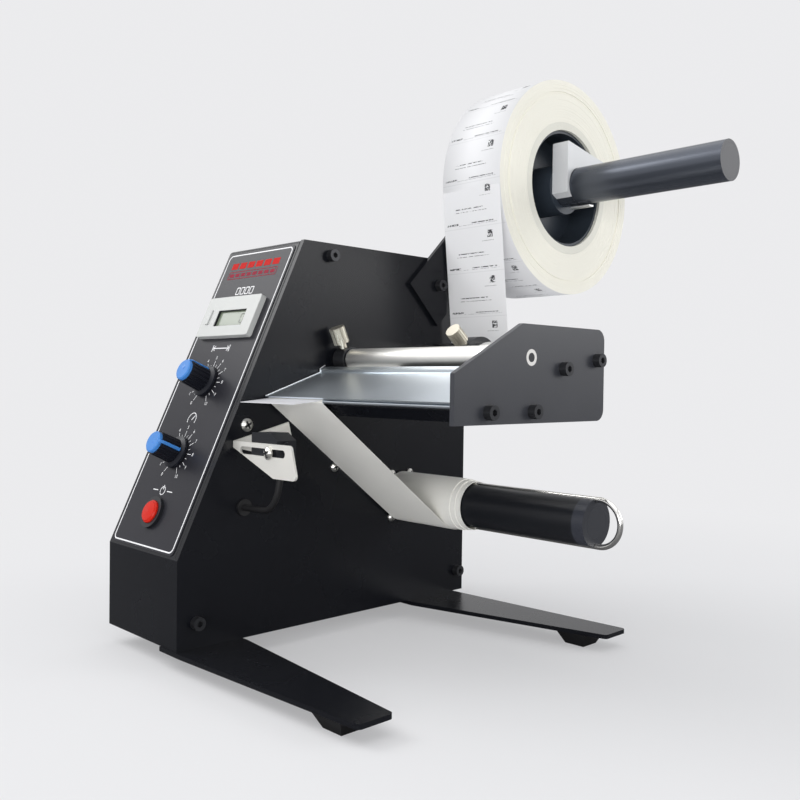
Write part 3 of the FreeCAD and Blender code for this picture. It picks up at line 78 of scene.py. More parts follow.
def newGroup(name, inputs, outputs):
    group = bpy.data.node_groups.new(name, "ShaderNodeTree")
    for label, kind, value in inputs:
        socket = group.interface.new_socket(label, in_out="INPUT", socket_type=kind)
        socket.default_value = value
    for label, kind in outputs:
        group.interface.new_socket(label, in_out="OUTPUT", socket_type=kind)
    return group, group.nodes.new("NodeGroupInput"), group.nodes.new("NodeGroupOutput")


def feed(tree, value, socket):
    """Links another node's output to a socket, or sets the socket to a number or a colour."""
    if isinstance(value, bpy.types.NodeSocket):
        tree.links.new(value, socket)
    else:
        socket.default_value = value


def mathNode(tree, operation, first, second=None):
    node = tree.nodes.new("ShaderNodeMath")
    node.operation = operation
    for socket, value in zip(node.inputs, (first, second)):
        if value is not None:
            feed(tree, value, socket)
    return node.outputs[0]


def objectPlace(tree):
    """A point's place in its piece's own coordinates."""
    return tree.nodes.new("ShaderNodeTexCoord").outputs["Object"]


def objectXYZ(tree):
    """The same place as three numbers."""
    split = tree.nodes.new("ShaderNodeSeparateXYZ")
    tree.links.new(objectPlace(tree), split.inputs[0])
    return split.outputs


def noiseAt(tree, place, scale, detail=2):
    """Noise at a place."""
    node = tree.nodes.new("ShaderNodeTexNoise")
    tree.links.new(place, node.inputs["Vector"])
    feed(tree, scale, node.inputs["Scale"])
    node.inputs["Detail"].default_value = detail
    return node.outputs["Fac"]


def bumpNormal(tree, height, depth):
    """The normal of a surface that is raised by up to depth, in metres."""
    bump = tree.nodes.new("ShaderNodeBump")
    feed(tree, depth, bump.inputs["Distance"])
    tree.links.new(height, bump.inputs["Height"])
    return bump.outputs["Normal"]


def mapRange(tree, value, before=(0.0, 1.0), after=(0.0, 1.0)):
    """A value that runs between the ends of before, mapped to the ends of after."""
    node = tree.nodes.new("ShaderNodeMapRange")
    for label, end in zip(("From Min", "From Max", "To Min", "To Max"), (*before, *after)):
        node.inputs[label].default_value = end
    tree.links.new(value, node.inputs["Value"])
    return node


def scaledColor(tree, color, factor):
    node = tree.nodes.new("ShaderNodeVectorMath")
    node.operation = "SCALE"
    tree.links.new(color, node.inputs[0])
    tree.links.new(factor, node.inputs["Scale"])
    return node.outputs[0]


def mixedColor(tree, factor, first, second):
    """The first colour where factor is 0, the second where it is 1."""
    mix = tree.nodes.new("ShaderNodeMix")
    mix.data_type = "RGBA"
    tree.links.new(factor, mix.inputs["Factor"])
    feed(tree, first, mix.inputs[6])
    feed(tree, second, mix.inputs[7])
    return mix.outputs[2]


def mixedShader(tree, factor, first, second):
    """The first shader where factor is 0, the second where it is 1."""
    mix = tree.nodes.new("ShaderNodeMixShader")
    for socket, value in zip(mix.inputs, (factor, first, second)):
        tree.links.new(value, socket)
    return mix.outputs[0]


# Slow stains and wear, in cycles to the metre
handlingScale = 26


def makeGrainGroup():
    """Colour, roughness and bump that vary finely with grain and slowly with handling."""
    floatKind, colorKind = "NodeSocketFloat", "NodeSocketColor"
    group, source, sink = newGroup("surfaceGrain", [
        ("Color", colorKind, (0.5, 0.5, 0.5, 1)), ("Grain", floatKind, 900.0),
        ("Depth", floatKind, 0.00002), ("Roughness", floatKind, 0.5),
        ("Spread", floatKind, 0.08), ("Tint", floatKind, 0.1),
    ], [("Color", colorKind), ("Roughness", floatKind), ("Normal", "NodeSocketVector")])
    given, result = source.outputs, sink.inputs
    place = objectPlace(group)
    fine = noiseAt(group, place, given["Grain"], detail=3)
    slow = noiseAt(group, place, handlingScale, detail=4)
    away = mathNode(group, "SUBTRACT", slow, 0.5)
    swing = mathNode(group, "MULTIPLY", away, given["Spread"])
    rough = mathNode(group, "ADD", swing, given["Roughness"])
    shade = mathNode(group, "ADD", mathNode(group, "MULTIPLY", away, given["Tint"]), 1.0)
    group.links.new(rough, result["Roughness"])
    group.links.new(scaledColor(group, given["Color"], shade), result["Color"])
    group.links.new(bumpNormal(group, fine, given["Depth"]), result["Normal"])
    return group


def makeBarGroup():
    """1 inside a rectangle of the U, V plane, 0 outside."""
    kind = "NodeSocketFloat"
    group, source, sink = newGroup("printedBar", [
        ("U", kind, 0.0), ("V", kind, 0.0), ("Left", kind, 0.0), ("Right", kind, 1.0),
        ("Low", kind, 0.0), ("High", kind, 1.0)], [("Ink", kind)])
    given = source.outputs
    ink = mathNode(group, "GREATER_THAN", given["U"], given["Left"])
    for operation, value, limit in (("LESS_THAN", "U", "Right"), ("GREATER_THAN", "V", "Low"),
                                    ("LESS_THAN", "V", "High")):
        inside = mathNode(group, operation, given[value], given[limit])
        ink = mathNode(group, "MULTIPLY", ink, inside)
    group.links.new(ink, sink.inputs["Ink"])
    return group


grainGroup = makeGrainGroup()
barGroup = makeBarGroup()

# ---------------------------------------------------------------- finishes

paint = {}


def material(name, color, rough, metal=0.0, grain=900.0, depth=0.00002, spread=0.08, tint=0.15,
             coat=0.0, gloss=0.5):
    """A finish with a fine grain of a depth in metres. Its roughness and colour wander
    slowly, by spread and tint."""
    made = bpy.data.materials.new(name)
    made.use_nodes = True
    tree = made.node_tree
    shader = tree.nodes["Principled BSDF"]
    shader.inputs["Metallic"].default_value = metal
    shader.inputs["Coat Weight"].default_value = coat
    shader.inputs["Specular IOR Level"].default_value = gloss
    node = tree.nodes.new("ShaderNodeGroup")
    node.node_tree = grainGroup
    node.inputs["Color"].default_value = (*color, 1)
    for label, value in (("Grain", grain), ("Depth", depth), ("Roughness", rough),
                         ("Spread", spread), ("Tint", tint)):
        node.inputs[label].default_value = value
    tree.links.new(node.outputs["Color"], shader.inputs["Base Color"])
    tree.links.new(node.outputs["Roughness"], shader.inputs["Roughness"])
    tree.links.new(node.outputs["Normal"], shader.inputs["Normal"])
    paint[name] = made
    return made


# painted metal and its edges
material("powderBlack", (0.006, 0.0066, 0.009), 0.27, grain=1500, spread=0.06, gloss=0.22)
# painted sheen: the outer plate's black is a lighter, glossier copy of the housing's, for the
# light it catches
material("outerSheenBlack", (0.032, 0.034, 0.041), 0.33, grain=1500, spread=0.10, gloss=0.55)
# painted highlight: a lighter black for the plates' softened edges
material("edgeSheenBlack", (0.030, 0.031, 0.036), 0.30, grain=1500, depth=0.00001, spread=0.1)
material("seamBlack", (0.004, 0.004, 0.005), 0.7, depth=0.00001)
# film and inks
material("film", (0.022, 0.022, 0.027), 0.32, grain=2600, depth=0.00001, spread=0.05, gloss=0.16)
material("whiteInk", (0.85, 0.85, 0.86), 0.45, depth=0.00001, gloss=0.2)
material("redInk", (0.50, 0.012, 0.010), 0.5, depth=0.00001, gloss=0.05)
material("darkRedInk", (0.26, 0.02, 0.04), 0.5, depth=0.00001, gloss=0.05)
# also the painted shade in the screws' cross recesses
material("blackInk", (0.02, 0.02, 0.022), 0.5, depth=0.00001)
# plastic and rubber
material("bezelWhite", (0.52, 0.53, 0.515), 0.42, depth=0.00001, tint=0.05)
material("displayGlass", (0.19, 0.225, 0.165), 0.18, depth=0.000004, spread=0.03, tint=0.12,
         coat=0.1)
material("knobBlack", (0.008, 0.009, 0.014), 0.36, grain=1200, spread=0.1, gloss=0.28)
material("knobBlue", (0.055, 0.225, 0.60), 0.32, depth=0.00001, spread=0.06, gloss=0.35)
material("keyRed", (0.56, 0.016, 0.006), 0.34, depth=0.00001, spread=0.06, gloss=0.16)
# also the painted shade on the counter window's recess walls
material("plasticBlack", (0.013, 0.014, 0.017), 0.36, grain=1100, spread=0.1, gloss=0.32)
material("coreBlack", (0.032, 0.041, 0.054), 0.36, grain=300, depth=0.00003, spread=0.10,
         gloss=0.26)
material("clampWhite", (0.66, 0.67, 0.68), 0.34, depth=0.00001, tint=0.05)
material("capBlack", (0.022, 0.024, 0.031), 0.42, grain=1400)
material("rubber", (0.009, 0.009, 0.010), 0.50, grain=700, depth=0.00005, gloss=0.45)
material("boardGreen", (0.02, 0.16, 0.06), 0.35, grain=700)
# bare and plated metal
material("tubeBlack", (0.078, 0.087, 0.107), 0.24, metal=0.6, grain=1400, spread=0.06,
         gloss=0.6)
material("nickel", (0.56, 0.53, 0.45), 0.42, metal=1.0, grain=1200, depth=0.000006,
         spread=0.1, tint=0.06)
material("chrome", (0.88, 0.87, 0.84), 0.10, metal=1.0, grain=400, depth=0.000003,
         spread=0.06, tint=0.04)
material("rollerSteel", (0.94, 0.93, 0.89), 0.40, metal=1.0, depth=0.000005, tint=0.05)
material("groundSteel", (0.74, 0.74, 0.75), 0.17, metal=1.0, depth=0.000006, spread=0.1,
         tint=0.06)
material("blackOxide", (0.035, 0.036, 0.040), 0.36, metal=0.6, grain=1500, spread=0.12)
material("zinc", (0.82, 0.81, 0.76), 0.28, metal=1.0, grain=1000, depth=0.00001,
         spread=0.12)
material("bracketSteel", (0.90, 0.885, 0.83), 0.38, metal=0.55, grain=1100, depth=0.00001,
         spread=0.1, tint=0.06)
# painted highlight on the stainless sheets' edges and the cover's edge strip, and also the latch's
# own metal
material("brightEdge", (0.92, 0.93, 0.93), 0.50, metal=1.0, depth=0.000004, tint=0.03)
# paper and card
material("labelBlank", (0.72, 0.72, 0.75), 0.42, depth=0.00001, tint=0.03)
material("cardboard", (0.76, 0.75, 0.67), 0.75, grain=600, depth=0.00007)
material("backing", (0.88, 0.87, 0.82), 0.34, grain=350, spread=0.12, tint=0.08)


def tintOver(made, factor, color):
    """Lays a second colour over a paint's own where factor is 1."""
    tree = made.node_tree
    target = tree.nodes["Principled BSDF"].inputs["Base Color"]
    tree.links.new(mixedColor(tree, factor, target.links[0].from_socket, color), target)


def makeStainless():
    """Bright rolled sheet with a fine grain along X."""
    made = material("stainless", (0.71, 0.77, 0.82), 0.33, metal=1.0, grain=1.0,
                    depth=0.000004, tint=0.05)
    tree = made.node_tree
    stretch = tree.nodes.new("ShaderNodeMapping")
    stretch.inputs["Scale"].default_value = (40, 2600, 2600)
    tree.links.new(objectPlace(tree), stretch.inputs["Vector"])
    lines = noiseAt(tree, stretch.outputs["Vector"], 1.0)
    normal = bumpNormal(tree, lines, 0.000003)
    tree.links.new(normal, tree.nodes["Principled BSDF"].inputs["Normal"])


# Labels along the web, with the gap between them, and the marks printed on each: left, right,
# low and high edges in millimetres
labelPitch, labelGap = 28.0, 0.5
labelMarks = [
    (2.5, 12.0, 2.0, 3.1), (22.0, 42.0, 2.3, 2.9), (12.5, 44.0, 1.5, 1.65),
    (35.5, 39.8, 20.4, 24.8), (31.0, 40.5, 18.4, 18.6), (10.5, 33.0, 11.4, 12.0),
    (9.5, 36.0, 9.6, 9.9),
]
labelInk = (0.02, 0.02, 0.025, 1)
inkStrength, gapStrength = 0.96, 0.10
# The marks are broken into strokes by a fine noise, where it is under this value
strokeScale, strokeBreak = 1250, 0.44


def printLabels(made, across, along):
    """Inks the marks of a label that repeats along the web onto a paper material."""
    tree = made.node_tree
    repeat = mathNode(tree, "MODULO", along, labelPitch)
    ink = None
    for edges in labelMarks:
        bar = tree.nodes.new("ShaderNodeGroup")
        bar.node_tree = barGroup
        tree.links.new(across, bar.inputs["U"])
        tree.links.new(repeat, bar.inputs["V"])
        for label, value in zip(("Left", "Right", "Low", "High"), edges):
            bar.inputs[label].default_value = value
        ink = bar.outputs[0] if ink is None else mathNode(tree, "MAXIMUM", ink, bar.outputs[0])
    strokes = noiseAt(tree, objectPlace(tree), strokeScale, detail=0)
    ink = mathNode(tree, "MULTIPLY", ink, mathNode(tree, "GREATER_THAN", strokes, strokeBreak))
    ink = mathNode(tree, "MULTIPLY", ink, inkStrength)
    gap = mathNode(tree, "GREATER_THAN", repeat, labelPitch - labelGap)
    ink = mathNode(tree, "MAXIMUM", ink, mathNode(tree, "MULTIPLY", gap, gapStrength))
    tintOver(made, ink, labelInk)


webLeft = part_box("label_web")[0][0]
rollLow, rollHigh = (Vector(end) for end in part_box("label_roll"))
rollAxis = (rollLow + rollHigh) / 2
rollRadius = (rollHigh.z - rollLow.z) / 2
# Added to every height in metres, so that the labels' repeat never starts under zero
printShift = 0.2


def makePaper(name):
    """Label paper, with the distance across the web in millimetres and the point's y and z."""
    made = material(name, (0.78, 0.78, 0.79), 0.66, depth=0.00001, tint=0.04, gloss=0.3)
    tree = made.node_tree
    x, y, z = objectXYZ(tree)
    across = mathNode(tree, "MULTIPLY", mathNode(tree, "SUBTRACT", x, webLeft), 1000)
    return made, across, y, z


def makeWebPaper():
    """The free web, whose labels follow each other up its height."""
    made, across, _, z = makePaper("webPaper")
    tree = made.node_tree
    along = mathNode(tree, "MULTIPLY", mathNode(tree, "ADD", z, printShift), 1000)
    printLabels(made, across, along)


def makeRollPaper():
    """The roll's outside, whose labels run round it and line up with the web's at rest."""
    made, across, y, z = makePaper("rollPaper")
    tree = made.node_tree
    angle = mathNode(tree, "ARCTAN2", mathNode(tree, "SUBTRACT", z, rollAxis.z),
                     mathNode(tree, "SUBTRACT", rollAxis.y, y))
    along = mathNode(tree, "MULTIPLY", angle, rollRadius * 1000)
    along = mathNode(tree, "ADD", along, (rollAxis.z + printShift) * 1000)
    printLabels(made, across, along)


def makeRollSide():
    """The cut edges of the wound paper, cream with fine rings."""
    made = material("rollSide", (0.89, 0.87, 0.775), 0.7, grain=700, tint=0.06)
    tree = made.node_tree
    shader = tree.nodes["Principled BSDF"]
    _, y, z = objectXYZ(tree)
    dy = mathNode(tree, "SUBTRACT", y, rollAxis.y)
    dz = mathNode(tree, "SUBTRACT", z, rollAxis.z)
    square = mathNode(tree, "ADD", mathNode(tree, "MULTIPLY", dy, dy),
                      mathNode(tree, "MULTIPLY", dz, dz))
    rings = tree.nodes.new("ShaderNodeTexNoise")
    rings.noise_dimensions = "1D"
    rings.inputs["Scale"].default_value = 2600
    tree.links.new(mathNode(tree, "SQRT", square), rings.inputs["W"])
    tree.links.new(bumpNormal(tree, rings.outputs["Fac"], 0.00005), shader.inputs["Normal"])
    shade = mapRange(tree, rings.outputs["Fac"], after=(0.93, 1.04))
    own = shader.inputs["Base Color"].links[0].from_socket
    tree.links.new(scaledColor(tree, own, shade.outputs[0]), shader.inputs["Base Color"])


# Where the take-up cap's skirt starts to show and is full, in metres from the tube's end
skirtStart, skirtFull = 0.0072, 0.0066


def makeReelTube():
    """The take-up tube, black, with the greyer skirt of its cap over the last millimetres."""
    made = material("reelTube", (0.012, 0.013, 0.016), 0.32, grain=1400, spread=0.06, gloss=0.35)
    x = objectXYZ(made.node_tree)[0]
    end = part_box("takeup_tube")[1][0]
    skirt = mapRange(made.node_tree, x, (end - skirtStart, end - skirtFull))
    tintOver(made, skirt.outputs[0], (0.038, 0.041, 0.052, 1))


makeStainless()
makeWebPaper()
makeRollPaper()
makeRollSide()
makeReelTube()
print("materials", len(paint))

# ---------------------------------------------------------------- CAD nodes

finishOf = {
    "side_plate": "powderBlack", "main_shell": "powderBlack", "left_cover": "powderBlack",
    "bottom_plate": "powderBlack", "corner_posts": "groundSteel", "side_screws": "blackOxide",
    "cover_screws": "blackOxide", "panel_overlay": "film", "counter_bezel": "bezelWhite",
    "counter_window": "displayGlass", "counter_body": "plasticBlack",
    "counter_reset": "bezelWhite", "potentiometers": "zinc", "length_knob": "knobBlack",
    "length_knob_cap": "knobBlue", "speed_knob": "knobBlack", "speed_knob_cap": "knobBlue",
    "power_switch": "plasticBlack", "power_button": "keyRed", "front_foot_bar": "powderBlack",
    "rear_foot_bar": "powderBlack", "rubber_feet": "rubber", "supply_arm": "powderBlack",
    "supply_axle": "groundSteel", "supply_tube": "tubeBlack", "supply_bushes": "capBlack",
    "core_hub": "coreBlack", "core_clamp": "clampWhite", "label_core": "cardboard",
    "gear_motor": "zinc", "pan_screws": "zinc", "takeup_shaft": "groundSteel",
    "takeup_tube": "reelTube", "takeup_cap": "capBlack", "wound_backing": "backing",
    "takeup_clip": "chrome", "outer_plate": "outerSheenBlack", "rod_screws": "blackOxide",
    "spacer_rod": "chrome", "rear_guide_bar": "chrome", "base_beam": "powderBlack",
    "roller_shaft": "chrome", "guide_roller": "rollerSteel", "left_collar": "blackOxide",
    "left_thumb_screw": "nickel", "right_guide": "plasticBlack",
    "right_thumb_screw": "nickel", "cover_plate": "stainless", "peel_plate": "stainless",
    "label_web": "webPaper", "backing_strip": "backing", "dispensed_label": "labelBlank",
    "sensor_bracket": "bracketSteel", "label_sensor": "plasticBlack", "sensor_screw": "zinc",
    "sensor_cable": "rubber", "cable_grommet": "rubber", "power_inlet": "plasticBlack",
    "control_board": "boardGreen",
}
# The widths of the softened edges, in metres
softEdges = {
    "side_plate": 0.0005, "main_shell": 0.0003, "left_cover": 0.0003, "outer_plate": 0.0005,
    "front_foot_bar": 0.0004, "rear_foot_bar": 0.0004, "supply_arm": 0.0004,
    "counter_bezel": 0.0005, "base_beam": 0.0003, "supply_tube": 0.0005,
    "takeup_cap": 0.0006, "core_clamp": 0.0006, "power_switch": 0.0006,
    "left_collar": 0.0003, "right_guide": 0.0004, "side_screws": 0.0003,
    "rod_screws": 0.0003, "label_sensor": 0.0004, "sensor_bracket": 0.0002,
    "rubber_feet": 0.0008, "cover_plate": 0.00045, "peel_plate": 0.0002,
}
# Painted highlight: the plates' softened edges get a lighter black, and the bright sheets' edges a
# brighter, rougher metal, for the light the edges catch
edgeHighlights = {"side_plate": "edgeSheenBlack", "outer_plate": "edgeSheenBlack", "cover_plate": "brightEdge",
              "peel_plate": "brightEdge"}
shadingAngle, bevelAngle = math.radians(32), math.radians(40)


def softenEdges(node, name):
    """Rounds a node's sharp edges by its own width, with its painted edge highlight on the rounds
    if it has one.
    """
    bevel = node.modifiers.new("softEdge", "BEVEL")
    bevel.width = softEdges[name]
    bevel.segments = 2
    bevel.limit_method = "ANGLE"
    bevel.angle_limit = bevelAngle
    bevel.harden_normals = True
    bevel.use_clamp_overlap = True
    if name in edgeHighlights:
        node.data.materials.append(paint[edgeHighlights[name]])
        bevel.material = 1


for name, finish in finishOf.items():
    node = nodes.get(name)
    if node is None:
        print("no node", name)
        continue
    node.data.materials.clear()
    node.data.materials.append(paint[finish])
    node.data.shade_smooth()
    node.data.set_sharp_from_angle(angle=shadingAngle)
    if name in softEdges:
        softenEdges(node, name)
# The tubes' cut right ends, whose normals point along X, look like their caps
endFacing = 0.9
for name in ("supply_tube", "takeup_tube"):
    node = nodes[name]
    node.data.materials.append(paint["capBlack"])
    for face in node.data.polygons:
        if face.normal.x > endFacing:
            face.material_index = 1

# ---------------------------------------------------------------- pieces

squareCorners = ((-1, -1), (1, -1), (1, 1), (-1, 1))


def addPiece(name, mesh, finish, body, replaced=()):
    finishes = finish if isinstance(finish, (list, tuple)) else [finish]
    data = bpy.data.meshes.new(name)
    mesh.to_mesh(data)
    mesh.free()
    for each in finishes:
        data.materials.append(paint[each])
    piece = bpy.data.objects.new(name, data)
    bpy.context.scene.collection.objects.link(piece)
    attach(piece, body)
    if replaced:
        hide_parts(*replaced)


def addSlab(mesh, points, lift):
    """A flat prism: an outline of points raised by the vector lift."""
    low = [mesh.verts.new(point) for point in points]
    high = [mesh.verts.new(Vector(point) + lift) for point in points]
    mesh.faces.new(low[::-1])
    mesh.faces.new(high)
    count = len(points)
    for i in range(count):
        j = (i + 1) % count
        mesh.faces.new((low[i], low[j], high[j], high[i]))


def faceOutwards(mesh):
    bmesh.ops.recalc_face_normals(mesh, faces=mesh.faces)


# Ink on the panel: its thickness in metres, and in millimetres where it starts and how far
# the numbers lie over that
panelOut = Vector((0, -math.sin(slopeAngle), math.cos(slopeAngle)))
inkLift = panelOut * 0.00004
inkStart = filmTop + 0.01
numberLift = 0.03


def inkBar(mesh, x, up, width, height, turn=0.0):
    """A printed bar on the panel, centred at x, up and turned in the panel's plane."""
    c, s = math.cos(turn), math.sin(turn)
    points = []
    for a, b in squareCorners:
        du, dv = a * width / 2, b * height / 2
        points.append(onPanel(x + du * c - dv * s, up + du * s + dv * c, inkStart))
    addSlab(mesh, points, inkLift)


def roundedOutline(left, right, low, high, radius, steps=6):
    points = []
    for cx, cy, start in ((right - radius, high - radius, 0), (left + radius, high - radius, 90),
                          (left + radius, low + radius, 180), (right - radius, low + radius, 270)):
        for i in range(steps + 1):
            angle = math.radians(start + 90 * i / steps)
            points.append((cx + radius * math.cos(angle), cy + radius * math.sin(angle)))
    return points


def inkFrame(mesh, left, right, low, high, radius, line, leastRadius=0.05):
    """A printed line, line millimetres wide, inside a rounded rectangle's edge."""
    outer = roundedOutline(left, right, low, high, radius)
    inner = roundedOutline(left + line, right - line, low + line, high - line,
                           max(radius - line, leastRadius))
    count = len(outer)
    for i in range(count):
        j = (i + 1) % count
        quad = [outer[i], outer[j], inner[j], inner[i]]
        addSlab(mesh, [onPanel(x, up, inkStart) for x, up in quad], inkLift)


def inkNumber(mesh, text, x, up, height):
    """A plain number on the panel, from the built-in font."""
    curve = bpy.data.curves.new("number", "FONT")
    curve.body = text
    curve.size = height
    curve.align_x = "CENTER"
    curve.align_y = "CENTER"
    holder = bpy.data.objects.new("number", curve)
    bpy.context.scene.collection.objects.link(holder)
    bpy.context.view_layer.update()
    flat = bpy.data.meshes.new_from_object(holder)
    start = len(mesh.verts)
    mesh.from_mesh(flat)
    mesh.verts.ensure_lookup_table()
    for vert in mesh.verts[start:]:
        vert.co = onPanel(x + vert.co.x, up + vert.co.y, inkStart + numberLift)
    bpy.data.objects.remove(holder)
    bpy.data.meshes.remove(flat)
    bpy.data.curves.remove(curve)


# The line that the controls and signs are centred on, the scales' own, and the dials' heights
panelMiddle, scaleMiddle = -40.0, -40.1
lengthDial, speedDial = 100.3, 56.6


def around(x, up, radius, angle):
    """The point of the panel at a radius and an angle from x, up."""
    return x + radius * math.cos(angle), up + radius * math.sin(angle)


def inkScale(mesh, up, markRadius=11.6, halfRadius=10.4, numberRadius=15.4, start=240, step=30):
    """A dial's scale: eleven marks, each with its number, and ten short marks between them.
    The marks run clockwise from start, step degrees apart."""
    for i in range(11):
        angle = math.radians(start - step * i)
        inkBar(mesh, *around(scaleMiddle, up, markRadius, angle), width=3.6, height=0.34,
               turn=angle)
        if i < 10:
            between = angle - math.radians(step / 2)
            inkBar(mesh, *around(scaleMiddle, up, halfRadius, between), width=1.6, height=0.3,
                   turn=between)
        inkNumber(mesh, str(i), *around(scaleMiddle, up, numberRadius, angle), height=2.9)


def inkArc(mesh, up, radius, start, sweep, bars, width):
    """An arc of short bars that overlap, from start degrees through sweep degrees."""
    for i in range(bars):
        angle = math.radians(start + sweep * i / (bars - 1))
        inkBar(mesh, *around(panelMiddle, up, radius, angle), width, height=0.5,
               turn=angle + math.pi / 2)


def inkCountSign(mesh, left=-48.6, low=157.4, width=3.7, height=5.0, step=4.6):
    """Four small frames in a row, like the digits of a counter."""
    for i in range(4):
        inkFrame(mesh, left + step * i, left + width + step * i, low, low + height,
                 radius=0.6, line=0.6)


def inkLengthSign(mesh, up=121.9, tip=7.0, stop=8.6, spread=0.75, lean=0.75):
    """An arrow both ways between two stops. The barbs sit spread above and below its tips
    and lean by an angle in radians."""
    inkBar(mesh, panelMiddle, up, width=15.0, height=0.6)
    for side in (-1, 1):
        for way in (-1, 1):
            inkBar(mesh, panelMiddle + side * tip, up + way * spread, width=2.3, height=0.55,
                   turn=-side * way * lean)
        inkBar(mesh, panelMiddle + side * stop, up, width=0.6, height=4.2)


def inkSpeedSign(mesh, up=77.0):
    """A gauge's arc with its needle."""
    inkArc(mesh, up, radius=4.0, start=200, sweep=-220, bars=13, width=1.15)
    inkBar(mesh, panelMiddle + 1.0, up + 1.1, width=3.6, height=0.6, turn=math.radians(50))


def inkPowerSign(mesh, up=34.2):
    """An open ring with a bar in its gap, between two lines."""
    inkArc(mesh, up, radius=2.3, start=118, sweep=304, bars=12, width=1.35)
    inkBar(mesh, panelMiddle, up + 2.0, width=0.55, height=2.6)
    for side in (-1, 1):
        inkBar(mesh, panelMiddle + side * 7.5, up, width=5.5, height=0.5)


def buildPanelInk():
    """The panel's border, scales and signs in white, and the title as plain red bars."""
    white = bmesh.new()
    inkFrame(white, left=-71.3, right=-6.9, low=2.6, high=186.4, radius=3.2, line=0.75)
    for up in (lengthDial, speedDial):
        inkScale(white, up)
    inkCountSign(white)
    inkLengthSign(white)
    inkSpeedSign(white)
    inkPowerSign(white)
    addPiece("panelMarks", white, "whiteInk", "frame")
    red = bmesh.new()
    for i in range(6):
        inkBar(red, -61.0 + i * 8.4, 178.0, width=6.6, height=4.2)
    addPiece("panelTitleBars", red, "redInk", "frame")
    deep = bmesh.new()
    inkFrame(deep, left=-64.6, right=-15.2, low=168.9, high=174.2, radius=0.8, line=0.5)
    for i in range(8):
        inkBar(deep, -60.8 + i * 5.95, 171.5, width=4.4, height=2.4)
    addPiece("panelTitleFrame", deep, "darkRedInk", "frame")


buildPanelInk()
print("panel ink")


# The counter's window: its middle, width, low edge and height, the faces of its glass and of
# the bezel around it, and the height at which pieces start over the glass
windowMiddle = -38.2
windowWidth = 28.8
windowLow = 134.9
windowHeight = 10.4
glassTop = filmTop + 1.8
bezelTop = filmTop + 3.4
overGlass = glassTop + 0.02
# The digit's thickness in metres
digitLift = 0.00003


def buildDigit(middle=windowMiddle + 10.2, foot=windowLow + 2.4, half=1.5, stroke=0.5):
    """A seven-segment zero at the right of the counter's window. Its upright segments lie
    half to either side of its middle, and foot is the height of its lowest segment."""
    mesh = bmesh.new()

    def segment(x, up, width, height):
        points = [onPanel(x + a * width / 2, up + b * height / 2, overGlass)
                  for a, b in squareCorners]
        addSlab(mesh, points, panelOut * digitLift)

    for side in (-1, 1):
        for up in (1.4, 4.2):
            segment(middle + side * half, foot + up, stroke, height=2.1)
    for up in (0, 5.6):
        segment(middle, foot + up, width=2.4, height=stroke)
    addPiece("displayDigit", mesh, "blackInk", "frame")


def buildLining(skin=0.25, shortfall=0.35):
    """Painted shade: dark slabs on the inner walls of the window's recess, standing in for the
    shadow there. They end a little under the bezel.
    """
    mesh = bmesh.new()
    left, right = windowMiddle - windowWidth / 2, windowMiddle + windowWidth / 2
    low, high = windowLow, windowLow + windowHeight
    for x0, x1, up0, up1 in ((left, left + skin, low, high), (right - skin, right, low, high),
                             (left, right, high - skin, high), (left, right, low, low + skin)):
        points = [onPanel(x, up, overGlass)
                  for x, up in ((x0, up0), (x1, up0), (x1, up1), (x0, up1))]
        addSlab(mesh, points, panelOut * (bezelTop - glassTop - shortfall) / 1000)
    addPiece("windowPaintedShade", mesh, "plasticBlack", "frame")


buildDigit()
buildLining()


def buildPointer(name, up, turn, body, half=0.8):
    """The knob's blue pointer rib, from skirt to cap and twice half wide. profile holds the
    rib's side as radius and height over the panel."""
    mesh = bmesh.new()
    c, s = math.cos(turn), math.sin(turn)
    base = filmTop + 0.8
    profile = [(6.6, base + 3.0), (7.6, base + 3.0), (7.25, base + 13.6), (6.6, base + 16.2),
               (0.4, base + 17.0), (0.4, base + 16.6), (5.8, base + 15.6)]
    first, second = [], []
    for side, verts in ((-half, first), (half, second)):
        for radius, out in profile:
            verts.append(mesh.verts.new(onPanel(panelMiddle + radius * c - side * s,
                                                up + radius * s + side * c, out)))
    mesh.faces.new(first)
    mesh.faces.new(second[::-1])
    for i in range(len(profile)):
        j = (i + 1) % len(profile)
        mesh.faces.new((first[j], first[i], second[i], second[j]))
    faceOutwards(mesh)
    addPiece(name, mesh, "knobBlue", body)


buildPointer("lengthPointer", lengthDial, math.radians(72), "length_dial")
buildPointer("speedPointer", speedDial, math.radians(8), "speed_dial")
print("knob pointers")


def lathe(mesh, profile, centre, segments, faceFinish):
    """A ring about X through centre. profile holds (x, radius); faceFinish gives each
    stretch's material index, and only stretches of the first finish are shaded smooth."""
    rings = []
    for x, radius in profile:
        ring = []
        for i in range(segments):
            angle = 2 * math.pi * i / segments
            ring.append(mesh.verts.new((x, centre.y + radius * math.cos(angle),
                                        centre.z + radius * math.sin(angle))))
        rings.append(ring)
    count = len(rings)
    for a in range(count):
        b = (a + 1) % count
        for i in range(segments):
            j = (i + 1) % segments
            face = mesh.faces.new((rings[a][i], rings[a][j], rings[b][j], rings[b][i]))
            face.material_index = faceFinish[a]
            face.smooth = faceFinish[a] == 0
    faceOutwards(mesh)


# The wound paper, in metres: how far its steps' edges stray, the steps that lie deeper and by
# how much, and the gap to the core
rollSteps, rollSegments = 26, 128
edgeStray = 0.00022
deepSteps, deepInset = (17, 18), 0.0005
coreGap = 0.00006


